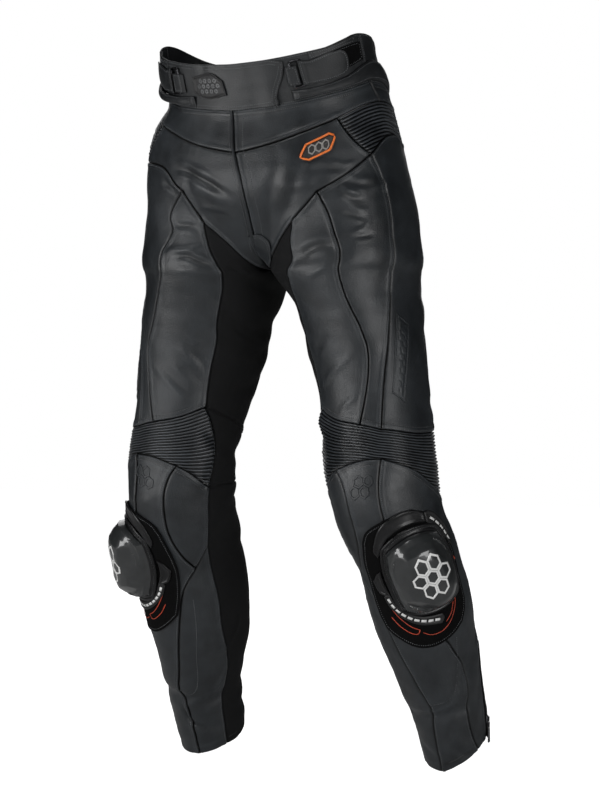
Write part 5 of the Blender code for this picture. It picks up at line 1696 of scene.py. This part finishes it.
def makeStage():
    bpy.context.scene.view_settings.view_transform = "Standard"
    low = cadBox[0][2] - stageLook["floorDrop"]
    bm = bmesh.new()
    bmesh.ops.create_grid(bm, x_segments=1, y_segments=1, size=stageLook["floorHalf"],
                          matrix=Matrix.Translation((0, 0, low)))
    floorMaterial, tree, shader = newMaterial("paleFloor", stageLook["floorColour"], 0.9)
    seen = placed(tree, "ShaderNodeLightPath")
    wire(tree, seen.outputs["Is Camera Ray"], shader.inputs["Emission Strength"])
    shader.inputs["Emission Color"].default_value = (1, 1, 1, 1)
    floor = meshObject("floor", bm, [floorMaterial])
    world = bpy.data.worlds.new("studio")
    bpy.context.scene.world = world
    world.use_nodes = True
    tree = world.node_tree
    background = tree.nodes["Background"]
    background.inputs["Color"].default_value = (1, 1, 1, 1)
    seen = placed(tree, "ShaderNodeLightPath")
    strength = setInputs(placed(tree, "ShaderNodeMapRange"), To_Min=stageLook["world"],
                         To_Max=stageLook["backdrop"])
    wire(tree, seen.outputs["Is Camera Ray"], strength.inputs["Value"])
    wire(tree, strength.outputs[0], background.inputs["Strength"])


# each light: where it stands, what it points at, its two sides and its watts
softLights = {
    "keySoft": ((-1.5, -2.6, -0.5), (0, 0, -0.45), (1.6, 1.4), 50),
    "sideSoft": ((2.65, -1.41, -0.3), (0, 0, -0.42), (1.5, 1.5), 40),
    "topSoft": ((-0.5, -1.7, 2.3), (0, 0, -0.42), (1.4, 1.0), 24),
    "backSoft": ((-1.4, 2.5, 0.9), (0, 0, -0.42), (2.4, 2.4), 20),
}


def areaLight(name, place, target, size, energy):
    lamp = bpy.data.lights.new(name, "AREA")
    lamp.shape = "RECTANGLE"
    lamp.size, lamp.size_y = size
    lamp.energy = energy
    made = bpy.data.objects.new(name, lamp)
    made.location = place
    made.rotation_euler = (Vector(target) - Vector(place)).to_track_quat("-Z", "Y").to_euler()
    bpy.context.scene.collection.objects.link(made)


def makeCamera():
    turn, tilt = math.radians(stageLook["azimuth"]), math.radians(stageLook["elevation"])
    back = Vector((math.sin(turn) * math.cos(tilt), -math.cos(turn) * math.cos(tilt),
                   math.sin(tilt)))
    right = Vector((math.cos(turn), math.sin(turn), 0))
    target = Vector(stageLook["target"]) + right * stageLook["shiftRight"]
    lens = bpy.data.cameras.new("camera")
    lens.lens = stageLook["lens"]
    made = bpy.data.objects.new("camera", lens)
    made.location = target + back * stageLook["distance"]
    up = back.cross(right)
    made.matrix_world = standing(right, up, back, made.location)
    bpy.context.scene.collection.objects.link(made)
    bpy.context.scene.camera = made


sliderLook = {
    "centre": (0.37, 0.5945), "half": (0.1, 0.0455), "lift": 0.0067, "drawIn": 0.16,
    "dome": ((0, 0.25, 0.5, 0.75, 0.9, 1), (0.029, 0.0288, 0.028, 0.025, 0.018, 0.01)),
    "front": 0.0272,          # height of the flat front face
    "rim": 0.93,              # the facets end here, and never cut lower than this
    "lowest": 0.0135,
    # each facet: its direction across and down, where it starts, and how steeply it falls
    "facets": ((-0.965, -0.262, 0.6, 0.034), (-0.322, 0.947, 0.7, 0.052),
               (0.891, -0.454, 0.74, 0.05), (0.0, -1.0, 0.8, 0.06), (1.0, 0.0, 0.84, 0.07)),
    "cells": ((0, 0), (1, 0), (-1, 0), (0.5, 1), (-0.5, 1), (0.5, -1), (-0.5, -1)),
    "cellSize": 0.25, "cellLine": 0.26, "cellCentre": (0.1, -0.06),
}


def roundPlan(x, y, centre, half):
    return np.stack([centre[0] + half[0] * x * np.sqrt(1 - 0.36 * y**2),
                     centre[1] + half[1] * y * np.sqrt(1 - 0.36 * x**2)], -1)


def puckPoints(x, y, side, foot=None, proud=0.0):
    # points on the puck's outside at x across and y down it, both from -1 to 1
    look = sliderLook
    plan = roundPlan(x, y, look["centre"], look["half"])
    low, _ = surface(plan[..., 0], plan[..., 1], side, look["lift"])
    ends = np.linspace(-1, 1, 9)
    seat = roundPlan(*np.meshgrid(ends, ends), look["centre"], look["half"])
    middle = surface(seat[..., 0], seat[..., 1], side, look["lift"])[0].mean(axis=(0, 1))
    _, axis = surface(*look["centre"], side)
    reach = (np.abs(x) ** 5 + np.abs(y) ** 5) ** 0.2
    height = np.interp(reach, *look["dome"])
    for dx, dy, start, fall in look["facets"]:
        facet = look["front"] - fall * np.maximum(dx * x + dy * y - start, -0.02)
        cutDown = np.minimum(height, np.maximum(facet, look["lowest"]))
        height = np.where(reach < look["rim"], cutDown, height)
    if foot is not None:
        height = np.where(foot, 0.0, height)
    drawIn = 1 - look["drawIn"] * (1 - reach)[..., None]
    return middle + (low - middle) * drawIn + axis * (height + proud)[..., None], axis


def makePuck(side, mark):
    steps = np.concatenate([[-1], np.linspace(-1, 1, 61), [1]])
    x, y = np.meshgrid(steps, steps)
    foot = np.zeros(x.shape, bool)
    foot[[0, -1]] = foot[:, [0, -1]] = True
    points, axis = puckPoints(x, y, side, foot)
    puck = gridMesh("puck" + mark, points, np.broadcast_to(axis, points.shape), 0.0025,
                    [puckMaterial])
    bevel = puck.modifiers.new("edges", "BEVEL")
    bevel.width, bevel.segments, bevel.limit_method = 0.0006, 2, "ANGLE"
    dress(puck, "slider_puck" + mark)
    # honeycomb of plain white rings laid on the front face
    look = sliderLook

    def onto(x, y):
        return puckPoints(x + look["cellCentre"][0], y + look["cellCentre"][1], side, None, 0.0004)[0]
    hexRings("puck_cells" + mark, look["cells"], onto, look["cellSize"], look["cellLine"],
             whiteMaterial, 0.0006, axis)


def ribbons(name, runs, side, width, lift, material, thick=0.0004):
    # flat printed or moulded lines along runs of places, all in one piece
    bm = bmesh.new()
    for run in runs:
        run = curveThrough(run, max(2, round(lengthOf(onForm(np.array(run, float))) / 0.003)))
        plan = np.stack([moved(run, (k - 1) * width / 2) for k in range(3)], 1)
        points, normals = surface(plan[..., 0], plan[..., 1], side,
                                  lift + thick * np.array([0.4, 1.0, 0.4]))
        made = bmesh.ops.create_grid(bm, x_segments=2, y_segments=len(run) - 1, size=0.5)
        for vert, place in zip(made["verts"], points.reshape(-1, 3).tolist()):
            vert.co = place
        bm.faces.ensure_lookup_table()
        faces = {face for vert in made["verts"] for face in vert.link_faces}
        first = next(iter(faces))
        first.normal_update()
        if first.normal.dot(Vector(normals[0, 1])) < 0:
            bmesh.ops.reverse_faces(bm, faces=list(faces))
    dress(meshObject(name, bm, [material], thick))


def dashes(run, count, share=0.72):
    # a run of places cut into short bars with gaps
    fine = curveThrough(run, 60)
    return [spreadAlong(fine, (np.array([0.5 - share / 2, 0.5, 0.5 + share / 2]) + k) / count)
            for k in range(count)]


# moulded trims round the slider: material, thickness, cell, and top, right, bottom and left edges
sliderTrims = {
    "wing_top": (baseMaterial, 0.0016, 0.0022,
        [(0.262, 0.548), (0.287, 0.5362), (0.323, 0.529), (0.369, 0.5262),
        (0.409, 0.5282), (0.436, 0.5345)],
        [(0.436, 0.5345), (0.436, 0.544)],
        [(0.262, 0.56), (0.3, 0.546), (0.348, 0.54), (0.395, 0.54),
        (0.436, 0.544)],
        [(0.262, 0.548), (0.256, 0.554), (0.262, 0.56)]),
    "ear_of_slider": (baseMaterial, 0.0016, 0.0018,
        [(0.25, 0.577), (0.226, 0.585), (0.213, 0.5925)],
        [(0.25, 0.577), (0.245, 0.597), (0.252, 0.616)],
        [(0.224, 0.612), (0.238, 0.615), (0.252, 0.616)],
        [(0.213, 0.5925), (0.216, 0.603), (0.224, 0.612)]),
    "label_low": (badgeMaterial, 0.0014, 0.002,
        [(0.252, 0.614), (0.266, 0.629), (0.295, 0.642), (0.338, 0.651),
        (0.392, 0.6545)],
        [(0.392, 0.6545), (0.396, 0.661), (0.384, 0.668)],
        [(0.236, 0.618), (0.25, 0.6335), (0.28, 0.649), (0.324, 0.6615),
        (0.384, 0.668)],
        [(0.252, 0.614), (0.241, 0.614), (0.236, 0.618)]),
    "label_side": (badgeMaterial, 0.0014, 0.002,
        [(0.438, 0.535), (0.462, 0.5365), (0.488, 0.549), (0.511, 0.569)],
        [(0.511, 0.569), (0.513, 0.579), (0.506, 0.59)],
        [(0.438, 0.545), (0.464, 0.557), (0.486, 0.572), (0.506, 0.59)],
        [(0.438, 0.535), (0.438, 0.545)]),
}
# white bars printed on a label: their run, how many, and their width
sliderDashes = {
    "label_low": (((0.2455, 0.6185), (0.26, 0.6325), (0.289, 0.646), (0.33, 0.656),
        (0.383, 0.6612)), 9, 0.0036),
    "label_side": (((0.452, 0.542), (0.475, 0.5535), (0.493, 0.568), (0.506, 0.584)),
        5, 0.003),
}
sliderStripes = (
    ((0.392, 0.5365), (0.427, 0.54), (0.454, 0.55), (0.478, 0.564), (0.502, 0.585)),
    ((0.24, 0.6214), (0.253, 0.6365), (0.271, 0.65), (0.292, 0.661), (0.315, 0.668)),
    ((0.315, 0.668), (0.306, 0.6735), (0.287, 0.67), (0.262, 0.659), (0.246, 0.646)),
    ((0.322, 0.673), (0.345, 0.679), (0.382, 0.679), (0.415, 0.671), (0.441, 0.656),
                           (0.452, 0.64)),
    ((0.4, 0.669), (0.424, 0.66), (0.44, 0.647)),
)


def makeSlider(side, mark):
    pad = planBetween(*(curveThrough(run, 40) for run in (
        ((0.232, 0.544), (0.262, 0.534), (0.355, 0.527), (0.43, 0.532), (0.482, 0.548)),
        ((0.482, 0.548), (0.508, 0.588), (0.497, 0.625), (0.492, 0.66), (0.462, 0.682)),
        ((0.218, 0.664), (0.275, 0.688), (0.33, 0.697), (0.4, 0.694), (0.462, 0.682)),
        ((0.232, 0.544), (0.203, 0.57), (0.19, 0.6), (0.198, 0.632), (0.218, 0.664)))),
        graded(0.13, 0.005), graded(0.15, 0.005))
    layPiece("pad_of_slider" + mark, pad, side, 0.0006, 0.0022, pileMaterial,
             "slider_velcro" + mark, (0.0035,))
    steps = np.linspace(-1, 1, 71)
    base = roundPlan(*np.meshgrid(steps, steps), (0.372, 0.5955), (0.118, 0.0535))

    def rims(form, around, drop, gap):
        return (0.0013 * ridge(gap, 0.0022, 0.0013) + 0.001 * ridge(gap, 0.0072, 0.0014)
                - 0.0008 * ridge(gap, 0.0047, 0.001))
    layPiece("flange_of_slider" + mark, base, side, 0.0028, 0.0028, baseMaterial,
             "slider_base" + mark, (0.0047,), rims, cloth=False)

    def bead(form, around, drop, gap):
        return 0.001 * ridge(gap, 0.002, 0.0012)
    for name, (material, thick, cell, *runs) in sliderTrims.items():
        layPiece(name + mark, finePlan(*runs, cell), side, 0.003, thick, material,
                 None, (), bead, cloth=False)
        if name in sliderDashes:
            run, count, width = sliderDashes[name]
            ribbons(name.replace("label", "dashes") + mark, dashes(run, count), side, width,
                    0.0047, whiteMaterial)
    ribbons("stripes" + mark, sliderStripes, side, 0.001, 0.0034, redMaterial)
    ribbons("stripe_end" + mark, [((0.493, 0.6), (0.5, 0.605))], side, 0.003, 0.0034,
            redMaterial)
    makePuck(side, mark)


legDetail = {
    "patch": ((0.424, 0.2824), (0.463, 0.3013), (0.415, 0.4029), (0.376, 0.3916)),
    "knee": {1: (0.262, 0.4965), -1: (0.28, 0.493)}, "kneeCell": 0.0068,
    # the stitched end of the shin guard's pocket
    "pocket": {1: ((0.432, 0.7), (0.418, 0.74), (0.4, 0.765), (0.376, 0.778), (0.328, 0.785),
                   (0.28, 0.785)),
               -1: ((0.165, 0.644), (0.172, 0.69), (0.181, 0.73), (0.182, 0.772),
                    (0.2, 0.79), (0.235, 0.798), (0.262, 0.79))},
}


def makeLegDetail(side, mark):
    a, b, c, d = legDetail["patch"]
    plan = finePlan([a, b], [b, c], [d, c], [a, d], 0.0016)
    middle = plan.mean(axis=(0, 1))

    def bars(form, around, drop, gap):
        edge = hexagons(around, drop, middle, 0.0056, 0.5)
        return 0.0007 * rise(1 - edge, 0.06, 0.24) * rise(gap, 0.005, 0.0062) - 0.0004
    layPiece("thigh_patch" + mark, plan, side, 0.0004, 0.0012, leatherMaterial,
             None, (0.0026,), bars, legThread[side])
    at = legDetail["knee"][side]
    _, normal = surface(*at, side)
    rings = hexRings("knee_cells" + mark, ((-0.25, -0.5), (0.75, -0.5), (0.25, 0.5), (-0.75, 0.5)),
                     lambda x, y: surface(at[0] + x / 0.45, at[1] + y, side, 0.001)[0],
                     legDetail["kneeCell"], 0.36, leatherMaterial,
                     0.0013, normal)
    bevel = rings.modifiers.new("edges", "BEVEL")
    bevel.width, bevel.segments = 0.0004, 2
    run = curveThrough(legDetail["pocket"][side], 80)
    put, normals = surface(run[:, 0], run[:, 1], side, 0.0001)
    sewRow(put, normals, legThread[side])


for side, mark in bothSides:
    makeSlider(side, mark)
    makeLegDetail(side, mark)
print("knee sliders made")


zipLook = {
    "pitch": 0.0017, "tooth": (0.0011, 0.0026, 0.0013), "apart": 0.0013, "lift": 0.0012,
    # blocks of the slider and of its tab: size, centre, taper and rounding
    "slider": (((0.009, 0.0024, 0.0105), (0, 0.0026, 0.005), 0.25, 0.0008),
               ((0.0022, 0.003, 0.007), (0, 0.0006, 0.0053), 0.0, 0.0006)),
    "tab": (((0.001, 0.0014, 0.0085), (-0.0024, 0, -0.003), 0.0, 0.0003),
            ((0.001, 0.0014, 0.0085), (0.0024, 0, -0.003), 0.0, 0.0003),
            ((0.0058, 0.0014, 0.0014), (0, 0, 0.0004), 0.0, 0.0004),
            ((0.0082, 0.0017, 0.02), (0, 0, -0.0175), 0.3, 0.0006),
            ((0.005, 0.0021, 0.012), (0, 0, -0.0185), 0.25, 0.0004)),
}


def makeZip(side, mark):
    seams = seamTable(side)
    outer, inner = chain(seams, "zipOuter"), chain(seams, "zipInner")
    middle = (outer + inner) / 2
    form = onForm(middle)
    count = round(lengthOf(form) / zipLook["pitch"])
    teeth = bmesh.new()
    for row, shift in ((1, 0.0), (-1, 0.5)):
        at = (np.arange(count - 1) + 0.5 + shift) / count
        run = spreadAlong(moved(middle, row * zipLook["apart"]), at)
        put, normals = surface(run[:, 0], run[:, 1], side, zipLook["lift"])
        ahead, _ = surface(run[:, 0], run[:, 1] + 0.001, side, zipLook["lift"])
        along = unit(ahead - put)
        across = np.cross(normals, along)
        length, width, height = zipLook["tooth"]
        for tooth in map(standing, along * length, across * width, normals * height, put):
            bmesh.ops.create_cube(teeth, size=1.0, matrix=tooth)
    bmesh.ops.recalc_face_normals(teeth, faces=teeth.faces[:])
    piece = meshObject("zip_teeth" + mark, teeth, [toothMaterial])
    bevel = piece.modifiers.new("edges", "BEVEL")
    bevel.width, bevel.segments = 0.00025, 1
    dress(piece)


def boxIn(bm, size, centre, taper, bevel):
    # a rounded block, narrower at its top end by the taper
    made = bmesh.ops.create_cube(bm, size=1.0)
    for vert in made["verts"]:
        narrow = 1 - taper if vert.co.z > 0 else 1
        vert.co = (vert.co.x * size[0] * narrow + centre[0], vert.co.y * size[1] + centre[1],
                   vert.co.z * size[2] + centre[2])
    edges = {edge for vert in made["verts"] for edge in vert.link_edges}
    bmesh.ops.bevel(bm, geom=list(edges), offset=bevel, segments=2, affect="EDGES",
                    profile=0.5, material=-1)


def makeZipSlider(mark):
    # the slider and its tab stand at the hinge that the tab swings on
    hinge = next(one for one in frame["record"]["behaviour"]["joints"]
                 if one["child"] == "pull" + mark)
    heading = math.atan2(hinge["axis"][0], -hinge["axis"][1]) + math.pi / 2
    stand = Matrix.Translation(hinge["pos_m"]) @ Matrix.Rotation(heading, 4, "Z")
    for kind, node, body in (("slider", None, "trousers"), ("tab", "zip_pull" + mark, "pull" + mark)):
        bm = bmesh.new()
        for block in zipLook[kind]:
            boxIn(bm, *block)
        bmesh.ops.transform(bm, matrix=stand, verts=bm.verts[:])
        dress(meshObject("zip_" + kind + mark, bm, [steelMaterial]), node, body)


for side, mark in bothSides:
    makeZip(side, mark)
    makeZipSlider(mark)
print("ankle zips made")


makeStitches()
print("stitches made")

makeStage()
for name, light in softLights.items():
    areaLight(name, *light)
makeCamera()
print("stage, lights and camera made")
